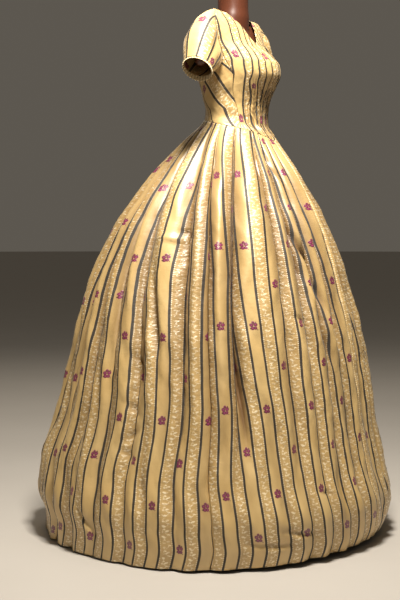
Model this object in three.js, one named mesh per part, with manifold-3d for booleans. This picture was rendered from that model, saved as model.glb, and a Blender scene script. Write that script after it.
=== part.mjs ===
// A short-sleeved gown of striped silk, standing on a limbless dress form.
// Millimetres, +Z up, the front toward -Y and the wearer's left toward +X. The origin is under the base.
//
// The gown's outline is a stack of half-ellipses, SECTIONS. Every cut piece is a grid of points on that
// outline, with a second grid one cloth's wall inside it. Places round the skirt are counted in bands of it.
import * as THREE from 'three'
import Module from 'manifold-3d'
import { mergeVertices } from 'three/addons/utils/BufferGeometryUtils.js'

const wasm = await Module()
wasm.setup()

// ---- driving dimensions ----
const CLOTH = 2            // wall of silk with its cotton backing
const SEAM_GAP = 0.3       // between two cut pieces
const BODICE_GAP = 0.54    // round the chest between bodice pieces, 0.3 square to a slanting seam
const WAIST_GAP = 0.6      // between bodice and skirt, whose edges have their corners at different places
const ARMHOLE_GAP = 1.0    // between sleeve and armhole
const SKIRT_HALF = 44      // bands of 33.4 mm, one woven line to the next, from centre front to centre back
const WIDTH_BANDS = 16     // bands in one width of silk
const SQUEEZE = 0.08       // what shows of a folded-in band, as a share of its width
const WIDEST_STEP = 0.75   // bands between two columns of a flat stretch
const CHEST_RADIUS = 127
const SLEEVE_RADIUS = 38
const SLEEVE_COLUMNS = 22
const FLAT_PUFF = 0.35     // bulge under and before the arm, as a share of the fullest
const PUFF_LEAN = 0.06     // turn by which the fullest part lies behind the top of the arm
const TRIM_COLUMNS = 22
const TRIM_WALL = 1.5
const TRIM_GAP = 0.36      // between sleeve and edging, measured along the arm
const TRIM_REACH = { above: 4, below: 13 }
const TRIM_FLARE = 0.07
const FORM_CLEARANCE = 9   // between the cloth and the form
const FORM_COLUMNS = 40
const SHOULDER_TUCK = 0.75 // share of the form's width beyond the shoulder point that is taken away
const NECK_COLUMNS = 32
const STUB_RADIUS = 20
const STUB_RECESS = 12     // from the sleeve's end to the tip of the arm stub
const STUB_COLUMNS = 28
const STUB_STEPS = 6
const FORM_FOOT = 870      // underside of the torso
const POLE_RADIUS = 14
const BASE_RADIUS = 170
const BASE_HEIGHT = 18
const BASE_BEVEL = 5
const BASE_EDGE = 2        // small bevel under the base
const BASE_COLUMNS = 48

const COLOURS = {
  silk: { color: 0xe9dcb4, roughness: 0.45, metalness: 0 },
  trim: { color: 0xe6d7ad, roughness: 0.6, metalness: 0 },
  form: { color: 0x4a1d10, roughness: 0.4, metalness: 0 },
  stand: { color: 0x2b211c, roughness: 0.5, metalness: 0.2 },
}

// The gown's outline, shoulder to hem: half-width at the side, and depth before and behind the axis.
const SECTIONS = [
  { z: 1384, side: 150, front: 0.4, back: 0.4 },
  { z: 1380, side: 152, front: 13, back: 15 },
  { z: 1370, side: 155, front: 23, back: 35 },
  { z: 1350, side: 154, front: 39, back: 63 },
  { z: 1325, side: 147, front: 52, back: 84 },
  { z: 1300, side: 138, front: 67, back: 97 },
  { z: 1275, side: 131, front: 96, back: 102 },
  { z: 1250, side: 127, front: 117, back: 101 },
  { z: 1225, side: 123, front: 121, back: 96 },
  { z: 1195, side: 117, front: 107, back: 88 },
  { z: 1162, side: 110, front: 90, back: 79 },
  { z: 1135, side: 105, front: 84, back: 73 },
  { z: 1112, side: 105, front: 83, back: 74 },
  { z: 1092, side: 110, front: 84, back: 90 },
  { z: 1072, side: 122, front: 96, back: 119 },
  { z: 1045, side: 142, front: 116, back: 155 },
  { z: 1010, side: 167, front: 142, back: 194 },
  { z: 957, side: 206, front: 178, back: 242 },
  { z: 900, side: 243, front: 208, back: 288 },
  { z: 830, side: 283, front: 243, back: 336 },
  { z: 739, side: 322, front: 277, back: 382 },
  { z: 648, side: 354, front: 304, back: 416 },
  { z: 545, side: 384, front: 333, back: 441 },
  { z: 408, side: 415, front: 357, back: 474 },
  { z: 304, side: 436, front: 371, back: 506 },
  { z: 203, side: 460, front: 391, back: 546 },
  { z: 110, side: 478, front: 414, back: 550 },
  { z: 53, side: 478, front: 405, back: 524 },
  { z: 5, side: 476, front: 383, back: 526 },
]

// The dress form below the waist, hidden by the skirt.
const HIPS = [
  { z: 1060, side: 104, front: 86, back: 90 },
  { z: 1000, side: 121, front: 96, back: 110 },
  { z: 940, side: 132, front: 102, back: 122 },
  { z: 870, side: 134, front: 103, back: 124 },
]

// Heights of the rings of the form above the waist.
const CHEST_HEIGHTS = [1112, 1135, 1162, 1195, 1225, 1250, 1275, 1300, 1325, 1345, 1362, 1374]

// The form's neck, from inside the shoulders to its cap.
const NECK = [
  { z: 1345, side: 44, front: 33, back: 38 },
  { z: 1366, side: 47, front: 34, back: 36 },
  { z: 1378, side: 47, front: 35, back: 39 },
  { z: 1387, side: 45, front: 34, back: 44 },
  { z: 1400, side: 42, front: 33, back: 48 },
  { z: 1420, side: 41, front: 33, back: 49 },
  { z: 1440, side: 41, front: 33, back: 49 },
  { z: 1449, side: 38.5, front: 30.5, back: 46.5 },
  { z: 1454, side: 31, front: 23, back: 39 },
  { z: 1456, side: 18, front: 10, back: 26 },
]

// Heights of the waist seam and the hem, by degrees round from centre front.
const WAIST_SEAM = [
  { degrees: 0, z: 1048 },
  { degrees: 22, z: 1063 },
  { degrees: 55, z: 1080 },
  { degrees: 90, z: 1091 },
  { degrees: 135, z: 1103 },
  { degrees: 180, z: 1110 },
]
const HEM = [
  { degrees: 0, z: 17 },
  { degrees: 60, z: 9 },
  { degrees: 100, z: 5 },
  { degrees: 180, z: 5 },
]

// Pleats of each half, in bands from centre front: the cloth folded in at the waist and at MID, the line into
// which the fold opens out, how far down the skirt (0 waist, 1 hem) it is flat, and its depth.
const MID = 0.35
const PLEATS_RIGHT = [
  { from: 0.8, to: 2.2, midFrom: 1.2, midTo: 1.9, heart: 1.6, opens: 0.6, deep: 13 },
  { from: 2.7, to: 4.4, midFrom: 3.2, midTo: 4, heart: 3.6, opens: 0.75, deep: 17 },
  { from: 4.9, to: 6.6, midFrom: 5.4, midTo: 6.1, heart: 5.8, opens: 0.6, deep: 18 },
  { from: 7.1, to: 8.9, midFrom: 7.6, midTo: 8, heart: 7.8, opens: 0.5, deep: 16 },
  { from: 10.3, to: 13.1, midFrom: 11.4, midTo: 13.9, heart: 13.5, opens: 0.8, deep: 20 },
  { from: 14.5, to: 17.5, midFrom: 15.3, midTo: 16.8, heart: 16, opens: 1.05, deep: 15 },
  { from: 18.3, to: 20.9, midFrom: 18.3, midTo: 19.1, heart: 18.9, opens: 1, deep: 22 },
  { from: 22.3, to: 24.6, midFrom: 22.6, midTo: 23.6, heart: 23.2, opens: 0.8, deep: 22 },
  { from: 25, to: 27.2, midFrom: 25.4, midTo: 26.6, heart: 26, opens: 0.6, deep: 17 },
  { from: 27.7, to: 30.3, midFrom: 28.2, midTo: 29.7, heart: 29, opens: 0.8, deep: 20 },
  { from: 30.7, to: 33.3, midFrom: 31.2, midTo: 32.7, heart: 32, opens: 0.65, deep: 18 },
  { from: 33.7, to: 36.5, midFrom: 34.3, midTo: 35.9, heart: 35, opens: 0.8, deep: 24 },
  { from: 36.9, to: 39.6, midFrom: 37.4, midTo: 38.9, heart: 38.2, opens: 0.7, deep: 18 },
  { from: 40, to: 43.4, midFrom: 40.7, midTo: 42.6, heart: 41.6, opens: 0.85, deep: 22 },
]
const PLEATS_LEFT = [
  { from: 0.9, to: 2.3, midFrom: 1.3, midTo: 1.9, heart: 1.6, opens: 0.55, deep: 14 },
  { from: 2.8, to: 4.6, midFrom: 3.3, midTo: 4.1, heart: 3.7, opens: 0.7, deep: 17 },
  { from: 5.1, to: 6.7, midFrom: 5.5, midTo: 6.3, heart: 5.9, opens: 0.5, deep: 20 },
  { from: 7.3, to: 9, midFrom: 7.7, midTo: 8.5, heart: 8.1, opens: 0.6, deep: 16 },
  { from: 10.5, to: 13.2, midFrom: 11.1, midTo: 12.4, heart: 11.8, opens: 0.75, deep: 18 },
  { from: 14.7, to: 17.3, midFrom: 15.2, midTo: 16.7, heart: 16, opens: 1, deep: 16 },
  { from: 18.3, to: 21, midFrom: 19.2, midTo: 20.6, heart: 20.2, opens: 0.7, deep: 22 },
  { from: 21.7, to: 24.1, midFrom: 22.3, midTo: 23.5, heart: 22.9, opens: 0.8, deep: 19 },
  { from: 24.7, to: 27, midFrom: 25.2, midTo: 26.1, heart: 25.6, opens: 0.6, deep: 18 },
  { from: 27.6, to: 30.1, midFrom: 28.1, midTo: 29.4, heart: 28.7, opens: 0.75, deep: 22 },
  { from: 30.5, to: 33.4, midFrom: 31.3, midTo: 32.8, heart: 32, opens: 0.8, deep: 17 },
  { from: 33.8, to: 36.4, midFrom: 34.5, midTo: 35.8, heart: 35.2, opens: 0.65, deep: 20 },
  { from: 36.8, to: 39.7, midFrom: 37.4, midTo: 38.9, heart: 38, opens: 0.85, deep: 22 },
  { from: 40.1, to: 43.3, midFrom: 41, midTo: 42.7, heart: 42, opens: 0.7, deep: 18 },
]

// How far the cloth at centre front hangs toward the wearer's right, in bands, down the skirt.
const SWAY = [
  { down: 0, bands: 0 },
  { down: 0.3, bands: 0.25 },
  { down: 0.6, bands: 0.75 },
  { down: 0.85, bands: 0.95 },
  { down: 1, bands: 0 },
]

// How deep every pleat is, and where its rows lie, down the skirt.
const PLEAT_LIFE = [
  { down: 0, depth: 0 },
  { down: 0.05, depth: 0.35 },
  { down: 0.16, depth: 1 },
  { down: 0.5, depth: 0.8 },
  { down: 0.8, depth: 0.5 },
  { down: 1, depth: 0.35 },
]
const SKIRT_ROWS = [0, 0.025, 0.065, 0.13, 0.21, 0.31, 0.44, 0.58, 0.72, 0.84, 0.93, 1]

// Edges of the bodice pieces on the form: degrees round from centre front, height, and share of the way up.
const FRONT_EDGE = [
  { up: 0, degrees: 0, z: 1048 },
  { up: 0.6, degrees: 0, z: 1302 },
  { up: 0.7, degrees: 7, z: 1319 },
  { up: 0.8, degrees: 15, z: 1347 },
  { up: 0.9, degrees: 24, z: 1371 },
  { up: 1, degrees: 33, z: 1384 },
]
const SIDE_FRONT_EDGE = [
  { up: 0, degrees: 48, z: 1077 },
  { up: 0.25, degrees: 57, z: 1130 },
  { up: 0.4, degrees: 65, z: 1175 },
  { up: 0.5, degrees: 67, z: 1212 },
  { up: 0.6, degrees: 77, z: 1262 },
  { up: 0.7, degrees: 77, z: 1290 },
  { up: 0.85, degrees: 72, z: 1345 },
  { up: 1, degrees: 60, z: 1384 },
]
const SIDE_BACK_EDGE = [
  { up: 0, degrees: 158, z: 1107 },
  { up: 0.3, degrees: 148, z: 1165 },
  { up: 0.6, degrees: 108, z: 1262 },
  { up: 0.8, degrees: 113, z: 1325 },
  { up: 1, degrees: 120, z: 1384 },
]
const BACK_EDGE = [
  { up: 0, degrees: 180, z: 1110 },
  { up: 0.75, degrees: 180, z: 1352 },
  { up: 0.88, degrees: 164, z: 1372 },
  { up: 1, degrees: 147, z: 1384 },
]
const ARMHOLE_UP = 0.6     // where both side edges reach the armhole
const ARMHOLE_SAG = 16     // the armhole's bottom, below a straight line between those two
const ARMHOLE_NOTCH = 0.72 // where the first column of the sleeve meets the front edge
const ARMHOLE_SHARES = { shoulder: 0.3, backNotch: 0.6, frontNotch: 0.82 } // shares of the turn round it
const WAIST_FIT = 0.4      // share of the bodice's height over which its rows bend to the waist seam
const BODICE_ROWS = 10
const FRONT_COLUMNS = 10
const SIDE_COLUMNS = 8

// The sleeve: where the form's arm stub starts inside the shoulder, the middle of the sleeve's lower end, and
// the way that end faces.
const SHOULDER = new THREE.Vector3(120, 8, 1312)
// Where each sleeve ends, both given as on the left side. The left arm hangs nearer the body and further back.
const SLEEVE_END = {
  right: new THREE.Vector3(217, 3, 1226),
  left: new THREE.Vector3(206, 16, 1234),
}
const ARM = new THREE.Vector3(0.569, 0, -0.822)
const SLEEVE_ROWS = [
  { along: 0, puff: 0 },
  { along: 0.12, puff: 14 },
  { along: 0.3, puff: 25 },
  { along: 0.5, puff: 26 },
  { along: 0.7, puff: 19 },
  { along: 0.86, puff: 9 },
  { along: 1, puff: 0 },
]

const radians = THREE.MathUtils.degToRad
const mix = THREE.MathUtils.lerp

// A column of a table at a value of its key, on a cubic through the rows that never overshoots them.
function along(table, key, column, at) {
  const rising = table[0][key] < table.at(-1)[key]
  const rows = rising ? table : [...table].reverse()
  const last = rows.length - 1
  if (at <= rows[0][key]) return rows[0][column]
  if (at >= rows[last][key]) return rows[last][column]
  const i = rows.findIndex((row, n) => n < last && at < rows[n + 1][key])
  const slope = (n) => (rows[n + 1][column] - rows[n][column]) / (rows[n + 1][key] - rows[n][key])
  const tangent = (n) => {
    if (n === 0) return slope(0)
    if (n === last) return slope(last - 1)
    const before = slope(n - 1)
    const after = slope(n)
    return before * after <= 0 ? 0 : (2 * before * after) / (before + after)
  }
  const step = rows[i + 1][key] - rows[i][key]
  const t = (at - rows[i][key]) / step
  const cubic = (2 * t - 3) * t * t
  return (cubic + 1) * rows[i][column] - cubic * rows[i + 1][column]
    + t * (1 - t) * ((1 - t) * tangent(i) - t * tangent(i + 1)) * step
}

function sectionAt(table, z) {
  const column = (name) => along(table, 'z', name, z)
  return { z, side: column('side'), front: column('front'), back: column('back') }
}

function onSection(section, angle) {
  const depth = Math.cos(angle) > 0 ? section.front : section.back
  return new THREE.Vector3(section.side * Math.sin(angle), -depth * Math.cos(angle), section.z)
}

const onGown = (angle, z) => onSection(sectionAt(SECTIONS, z), angle)

// The gown's outward direction at a place, level along the shoulder seam so that front and back meet there.
function gownNormal(angle, z) {
  const top = SECTIONS[0].z
  const step = 2
  const high = Math.min(z + step, top)
  const round = onGown(angle + 0.02, z).sub(onGown(angle - 0.02, z))
  const up = onGown(angle, high).sub(onGown(angle, high - 2 * step))
  const normal = round.cross(up).normalize()
  if (z > top - 1) normal.setY(0).normalize()
  return normal
}

// ---- closed shells ----

// A wall from a grid of outer points and one of inner points, both [row][column]; closed joins last to first.
function shell(outer, inner, closed = false) {
  const rows = outer.length
  const columns = outer[0].length
  const points = [...outer.flat(), ...inner.flat()]
  const positions = points.flatMap((point) => point.toArray())
  const faces = []
  const edge = columns - 1
  const out = (row, column) => row * columns + (column % columns)
  const into = (row, column) => rows * columns + out(row, column)
  const quad = (a, b, c, d) => faces.push(a, b, c, a, c, d)
  const spans = closed ? columns : columns - 1
  for (let row = 0; row < rows - 1; row++) {
    for (let column = 0; column < spans; column++) {
      quad(out(row, column), out(row, column + 1), out(row + 1, column + 1), out(row + 1, column))
      quad(into(row, column), into(row + 1, column), into(row + 1, column + 1), into(row, column + 1))
    }
  }
  for (let column = 0; column < spans; column++) {
    quad(out(0, column + 1), out(0, column), into(0, column), into(0, column + 1))
    quad(out(rows - 1, column), out(rows - 1, column + 1), into(rows - 1, column + 1), into(rows - 1, column))
  }
  if (!closed) {
    for (let row = 0; row < rows - 1; row++) {
      quad(out(row, 0), out(row + 1, 0), into(row + 1, 0), into(row, 0))
      quad(out(row, edge), into(row, edge), into(row + 1, edge), out(row + 1, edge))
    }
  }
  const geometry = new THREE.BufferGeometry()
  geometry.setAttribute('position', new THREE.Float32BufferAttribute(positions, 3))
  geometry.setIndex(faces)
  return facingOut(geometry)
}

// The geometry with every face turned over if the solid was inside out.
function facingOut(geometry) {
  const corners = ['a', 'b', 'c'].map(() => new THREE.Vector3())
  const { index, attributes: { position } } = geometry
  let volume = 0
  for (let i = 0; i < index.count; i += 3) {
    corners.forEach((corner, n) => corner.fromBufferAttribute(position, index.getX(i + n)))
    volume += corners[0].dot(corners[1].clone().cross(corners[2]))
  }
  if (volume < 0) geometry.setIndex([...index.array].reverse())
  return geometry
}

const moved = (point, direction, distance) => point.clone().addScaledVector(direction, distance)

function piece(name, geometry, colours) {
  const mesh = new THREE.Mesh(geometry, new THREE.MeshStandardMaterial({ ...colours, side: THREE.FrontSide }))
  mesh.name = name
  return mesh
}

// ---- skirt ----

// Bands that show between centre front and a band, once the pleats that are still closed hide theirs.
function shownTo(pleats, band, down) {
  const early = Math.min(down / MID, 1)
  return pleats.reduce((shown, { from, to, midFrom, midTo, heart, opens }) => {
    const closed = THREE.MathUtils.clamp((opens - down) / (opens - MID), 0, 1)
    const start = mix(heart, mix(from, midFrom, early), closed)
    const end = mix(heart, mix(to, midTo, early), closed)
    return shown - (1 - SQUEEZE) * Math.max(0, Math.min(band, end) - start)
  }, band)
}

// The lip farther from centre front, where a pleat whose folded-in cloth shifts reaches its farthest.
const farLip = ({ to, midTo }) => Math.max(to, midTo)

function pleatDepth(pleats, band, down) {
  const pleat = pleats.find((each) => band > each.from && band < farLip(each))
  if (!pleat) return 0
  const { from, heart, deep } = pleat
  const lip = farLip(pleat)
  const inward = band < heart ? (band - from) / (heart - from) : (lip - band) / (lip - heart)
  return deep * Math.sin((inward * Math.PI) / 2) ** 2 * along(PLEAT_LIFE, 'down', 'depth', down)
}

// Angles at equal steps of the way round half a section, by share of its length.
function halfWay(section) {
  const steps = 180
  const rows = [{ share: 0, angle: 0 }]
  let length = 0
  for (let i = 1; i <= steps; i++) {
    const angle = (Math.PI * i) / steps
    length += onSection(section, angle).distanceTo(onSection(section, angle - Math.PI / steps))
    rows.push({ share: length, angle })
  }
  rows.forEach((row) => { row.share /= length })
  return (share) => {
    const i = Math.max(1, rows.findIndex((row) => row.share >= Math.min(share, 1)))
    const t = (Math.min(share, 1) - rows[i - 1].share) / (rows[i].share - rows[i - 1].share)
    return mix(rows[i - 1].angle, rows[i].angle, t)
  }
}

function skirtRow(bands, down) {
  const sideSeam = WAIST_SEAM.find(({ degrees }) => degrees === 90)
  const angleAt = halfWay(sectionAt(SECTIONS, mix(sideSeam.z, HEM[0].z, down)))
  return bands.map((signed) => {
    const pleats = signed < 0 ? PLEATS_RIGHT : PLEATS_LEFT
    const band = Math.abs(signed)
    const shown = shownTo(pleats, band, down)
    const sway = along(SWAY, 'down', 'bands', down) * Math.max(0, 1 - shown / WIDTH_BANDS)
    const share = (Math.sign(signed) * shown - sway) / shownTo(pleats, SKIRT_HALF, down)
    const angle = Math.sign(share) * angleAt(Math.abs(share))
    const degrees = THREE.MathUtils.radToDeg(Math.abs(angle))
    const top = along(WAIST_SEAM, 'degrees', 'z', degrees) - WAIST_GAP / 2
    const z = mix(top, along(HEM, 'degrees', 'z', degrees), down)
    const point = onGown(angle, z)
    const inward = 1 - pleatDepth(pleats, band, down) / Math.hypot(point.x, point.y)
    return { angle, point: new THREE.Vector3(point.x * inward, point.y * inward, z) }
  })
}

// Bands that get a column: each pleat's lips and heart, the seams, and even steps where the cloth lies flat.
function skirtColumns(pleats) {
  const folds = pleats.flatMap((pleat) => [pleat.from, pleat.heart, farLip(pleat)])
  const columns = [0, WIDTH_BANDS, 2 * WIDTH_BANDS, SKIRT_HALF, ...folds]
  pleats.slice(1).forEach(({ from }, i) => {
    const lip = farLip(pleats[i])
    const parts = Math.ceil((from - lip) / WIDEST_STEP)
    for (let part = 1; part < parts; part++) columns.push(mix(lip, from, part / parts))
  })
  return [...new Set(columns)].sort((a, b) => a - b)
}

// The skirt is one closed grid, from centre back round the right, the front and the left, then cut up.
function skirtPieces() {
  const mirrorBands = skirtColumns(PLEATS_RIGHT).slice(1).reverse().map((band) => -band)
  const bands = [...mirrorBands, ...skirtColumns(PLEATS_LEFT)]
  const places = SKIRT_ROWS.map((down) => skirtRow(bands, down))
  const outer = places.map((line) => line.map(({ point }) => point))
  const count = bands.length - 1
  const tangents = outer.map((line) => line.map((point, column) => {
    const before = line[column === 0 ? count - 1 : column - 1]
    const after = line[column === count ? 1 : column + 1]
    return after.clone().sub(point).normalize().add(point.clone().sub(before).normalize()).normalize()
  }))
  const normals = places.map((line, row) => line.map(({ angle, point }, column) => {
    if (row === 0) return gownNormal(angle, point.z)
    const below = outer[Math.min(row + 1, outer.length - 1)][column]
    return tangents[row][column].clone().cross(outer[row - 1][column].clone().sub(below)).normalize()
  }))
  const [first, second] = [WIDTH_BANDS, 2 * WIDTH_BANDS]
  const cuts = [
    { name: 'skirt_back_right', start: -SKIRT_HALF, end: -second },
    { name: 'skirt_side_right', start: -second, end: -first },
    { name: 'skirt_front_right', start: -first, end: 0 },
    { name: 'skirt_front_left', start: 0, end: first },
    { name: 'skirt_side_left', start: first, end: second },
    { name: 'skirt_back_left', start: second, end: SKIRT_HALF },
  ]
  return cuts.map(({ name, start, end }) => {
    const left = bands.indexOf(start)
    const right = bands.indexOf(end)
    const grid = outer.map((line, row) => {
      const cut = line.slice(left, right + 1).map((point) => point.clone())
      cut[0].addScaledVector(tangents[row][left], SEAM_GAP / 2)
      cut.at(-1).addScaledVector(tangents[row][right], -SEAM_GAP / 2)
      return cut
    })
    const inner = grid.map((line, row) => (
      line.map((point, i) => moved(point, normals[row][left + i], -CLOTH))
    ))
    return piece(name, shell(grid, inner), COLOURS.silk)
  })
}

// ---- bodice ----

function edgePlace(edge, up) {
  return { degrees: along(edge, 'up', 'degrees', up), z: along(edge, 'up', 'z', up) }
}

// A bodice piece between two edges; both edges stop at `top`, and its bottom follows the waist seam.
function bodicePiece(name, mirror, [edgeA, edgeB], columns, top = 1, sag = 0) {
  const rows = Math.round(BODICE_ROWS * top)
  const place = (row, column) => {
    const up = (row / rows) * top
    const across = column / columns
    const [a, b] = [edgePlace(edgeA, up), edgePlace(edgeB, up)]
    const gap = THREE.MathUtils.radToDeg(BODICE_GAP / 2 / CHEST_RADIUS)
    const degrees = mix(a.degrees + gap, b.degrees - gap, across)
    const seam = along(WAIST_SEAM, 'degrees', 'z', degrees) + WAIST_GAP / 2
    const floor = seam - mix(edgeA[0].z, edgeB[0].z, across)
    const dip = top < 1 ? sag * Math.sin(Math.PI * across) * (up / top) ** 3 : 0
    const fit = floor * Math.max(0, 1 - up / WAIST_FIT)
    return { angle: mirror * radians(degrees), z: mix(a.z, b.z, across) + fit - dip }
  }
  const grid = []
  const inner = []
  for (let row = 0; row <= rows; row++) {
    const line = Array.from({ length: columns + 1 }, (_, column) => place(row, column))
    grid.push(line.map(({ angle, z }) => onGown(angle, z)))
    inner.push(line.map(({ angle, z }, i) => moved(grid[row][i], gownNormal(angle, z), -CLOTH)))
  }
  return piece(name, shell(grid, inner), COLOURS.silk)
}

function bodicePieces(side, mirror) {
  const front = [FRONT_EDGE, SIDE_FRONT_EDGE]
  const underarm = [SIDE_FRONT_EDGE, SIDE_BACK_EDGE]
  const back = [SIDE_BACK_EDGE, BACK_EDGE]
  return [
    bodicePiece(`bodice_front_${side}`, mirror, front, FRONT_COLUMNS),
    bodicePiece(`bodice_side_${side}`, mirror, underarm, SIDE_COLUMNS, ARMHOLE_UP, ARMHOLE_SAG),
    bodicePiece(`bodice_back_${side}`, mirror, back, SIDE_COLUMNS),
  ]
}

// ---- sleeves ----

// Unit directions across the arm: toward the front, and toward the outside of the arm.
const ACROSS_FRONT = new THREE.Vector3(0, -1, 0)
const ACROSS_OUT = new THREE.Vector3(-ARM.z, 0, ARM.x)

// The armhole's edge at a turn round it, starting at the front and passing over the shoulder, then the back.
function armholePoint(turn) {
  const { shoulder, backNotch, frontNotch } = ARMHOLE_SHARES
  const share = (from, to) => (turn - from) / (to - from)
  if (turn < shoulder) return edgePoint(SIDE_FRONT_EDGE, mix(ARMHOLE_NOTCH, 1, share(0, shoulder)))
  if (turn < backNotch) return edgePoint(SIDE_BACK_EDGE, mix(1, ARMHOLE_UP, share(shoulder, backNotch)))
  if (turn < frontNotch) {
    const across = 1 - share(backNotch, frontNotch)
    const front = edgePlace(SIDE_FRONT_EDGE, ARMHOLE_UP)
    const back = edgePlace(SIDE_BACK_EDGE, ARMHOLE_UP)
    const sag = ARMHOLE_SAG * Math.sin(Math.PI * across)
    return onGown(radians(mix(front.degrees, back.degrees, across)), mix(front.z, back.z, across) - sag)
  }
  return edgePoint(SIDE_FRONT_EDGE, mix(ARMHOLE_UP, ARMHOLE_NOTCH, share(frontNotch, 1)))
}

function edgePoint(edge, up) {
  const { degrees, z } = edgePlace(edge, up)
  return onGown(radians(degrees), z)
}

function mirrored(grid, mirror) {
  return grid.map((line) => line.map(({ x, y, z }) => new THREE.Vector3(x * mirror, y, z)))
}

function endPoint(side, turn, radius, beyond) {
  const angle = 2 * Math.PI * turn
  return SLEEVE_END[side].clone()
    .addScaledVector(ACROSS_FRONT, radius * Math.cos(angle))
    .addScaledVector(ACROSS_OUT, radius * Math.sin(angle))
    .addScaledVector(ARM, beyond)
}

function sleeve(side, mirror) {
  const off = new THREE.Vector3(ARMHOLE_GAP, 0, 0)
  const grid = SLEEVE_ROWS.map((row) => Array.from({ length: SLEEVE_COLUMNS }, (_, column) => {
    const turn = column / SLEEVE_COLUMNS
    const from = armholePoint(turn).add(off)
    const to = endPoint(side, turn, SLEEVE_RADIUS, 0)
    const bulge = row.puff * mix(FLAT_PUFF, 1, Math.max(0, Math.sin(2 * Math.PI * (turn - PUFF_LEAN))))
    const spoke = endPoint(side, turn, 1, 0).sub(SLEEVE_END[side])
    return from.lerp(to, row.along).addScaledVector(spoke, bulge)
  }))
  const inner = grid.map((line, row) => line.map((point, column) => {
    const before = line[(column + SLEEVE_COLUMNS - 1) % SLEEVE_COLUMNS]
    const after = line[(column + 1) % SLEEVE_COLUMNS]
    const above = grid[Math.max(row - 1, 0)][column]
    const below = grid[Math.min(row + 1, grid.length - 1)][column]
    return moved(point, after.clone().sub(before).cross(below.clone().sub(above)).normalize(), CLOTH)
  }))
  return piece(`sleeve_${side}`, shell(mirrored(grid, mirror), mirrored(inner, mirror), true), COLOURS.silk)
}

// A narrow edging under the sleeve, wider below the arm than above it.
function sleeveTrim(side, mirror) {
  const edges = (radius) => {
    const turns = Array.from({ length: TRIM_COLUMNS }, (_, column) => column / TRIM_COLUMNS)
    const below = (turn) => 0.5 - 0.5 * Math.sin(2 * Math.PI * turn)
    const reach = (turn) => mix(TRIM_REACH.above, TRIM_REACH.below, below(turn))
    return [
      turns.map((turn) => endPoint(side, turn, radius, TRIM_GAP)),
      turns.map((turn) => endPoint(side, turn, radius * (1 + TRIM_FLARE * below(turn)), reach(turn))),
    ]
  }
  const outer = mirrored(edges(SLEEVE_RADIUS), mirror)
  const inner = mirrored(edges(SLEEVE_RADIUS - TRIM_WALL), mirror)
  return piece(`sleeve_trim_${side}`, shell(outer, inner, true), COLOURS.trim)
}

// ---- dress form and stand ----

function solidOf(geometry) {
  const bare = geometry.clone()
  bare.deleteAttribute('normal')
  bare.deleteAttribute('uv')
  const merged = mergeVertices(bare)
  return new wasm.Manifold(new wasm.Mesh({
    numProp: 3,
    vertProperties: merged.attributes.position.array,
    triVerts: new Uint32Array(merged.index.array),
  }))
}

function geometryOf(solid) {
  const { vertProperties, triVerts } = solid.getMesh()
  const geometry = new THREE.BufferGeometry()
  geometry.setAttribute('position', new THREE.BufferAttribute(vertProperties, 3))
  geometry.setIndex(new THREE.BufferAttribute(triVerts, 1))
  return geometry
}

// A closed solid through a stack of rings, capped at each end by a fan.
function stacked(rings) {
  const columns = rings[0].length
  const total = (ring) => ring.reduce((sum, point) => sum.add(point), new THREE.Vector3())
  const middle = (ring) => total(ring).divideScalar(columns)
  const points = [...rings.flat(), middle(rings[0]), middle(rings.at(-1))]
  const positions = points.flatMap((point) => point.toArray())
  const faces = []
  const foot = rings.length * columns
  for (let column = 0; column < columns; column++) {
    const next = (column + 1) % columns
    rings.slice(1).forEach((_, row) => {
      const [a, b] = [row * columns + column, row * columns + next]
      faces.push(a, b, b + columns, a, b + columns, a + columns)
    })
    const head = (rings.length - 1) * columns
    faces.push(foot, next, column, foot + 1, head + column, head + next)
  }
  const geometry = new THREE.BufferGeometry()
  geometry.setAttribute('position', new THREE.Float32BufferAttribute(positions, 3))
  geometry.setIndex(faces)
  return facingOut(geometry)
}

function ringOf(columns, place) {
  return Array.from({ length: columns }, (_, column) => place((2 * Math.PI * column) / columns))
}

// A point of the torso: the gown's own form moved in, and drawn in further where the arm leaves the shoulder.
function onForm(angle, z) {
  const point = moved(onGown(angle, z), gownNormal(angle, z), -CLOTH - FORM_CLEARANCE)
  const beyond = Math.max(0, Math.abs(point.x) - SHOULDER.x)
  return point.setX(point.x - Math.sign(point.x) * SHOULDER_TUCK * beyond)
}

function torso() {
  const hips = HIPS.toReversed().map((section) => ringOf(FORM_COLUMNS, (angle) => onSection(section, angle)))
  const chest = CHEST_HEIGHTS.map((z) => ringOf(FORM_COLUMNS, (angle) => onForm(angle, z)))
  return solidOf(stacked([...hips, ...chest]))
}

function neck() {
  return solidOf(stacked(NECK.map((section) => ringOf(NECK_COLUMNS, (angle) => onSection(section, angle)))))
}

function armStub(side, mirror) {
  const toEnd = SLEEVE_END[side].clone().sub(SHOULDER)
  const way = toEnd.clone().normalize()
  const reach = toEnd.length() - STUB_RECESS - STUB_RADIUS
  const profile = [new THREE.Vector2(0, 0), new THREE.Vector2(STUB_RADIUS, 0)]
  for (let step = 0; step < STUB_STEPS; step++) {
    const angle = (Math.PI / 2) * (step / STUB_STEPS)
    profile.push(new THREE.Vector2(STUB_RADIUS * Math.cos(angle), reach + STUB_RADIUS * Math.sin(angle)))
  }
  profile.push(new THREE.Vector2(0, reach + STUB_RADIUS))
  const turned = new THREE.Quaternion().setFromUnitVectors(new THREE.Vector3(0, 1, 0), way)
  const geometry = new THREE.LatheGeometry(profile, STUB_COLUMNS).applyQuaternion(turned)
  const stub = solidOf(geometry.translate(SHOULDER.x, SHOULDER.y, SHOULDER.z))
  return mirror > 0 ? stub : stub.mirror([1, 0, 0])
}

function dressForm() {
  const whole = torso().add(neck()).add(armStub('left', 1)).add(armStub('right', -1))
  return piece('form_torso', geometryOf(whole), COLOURS.form)
}

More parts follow.
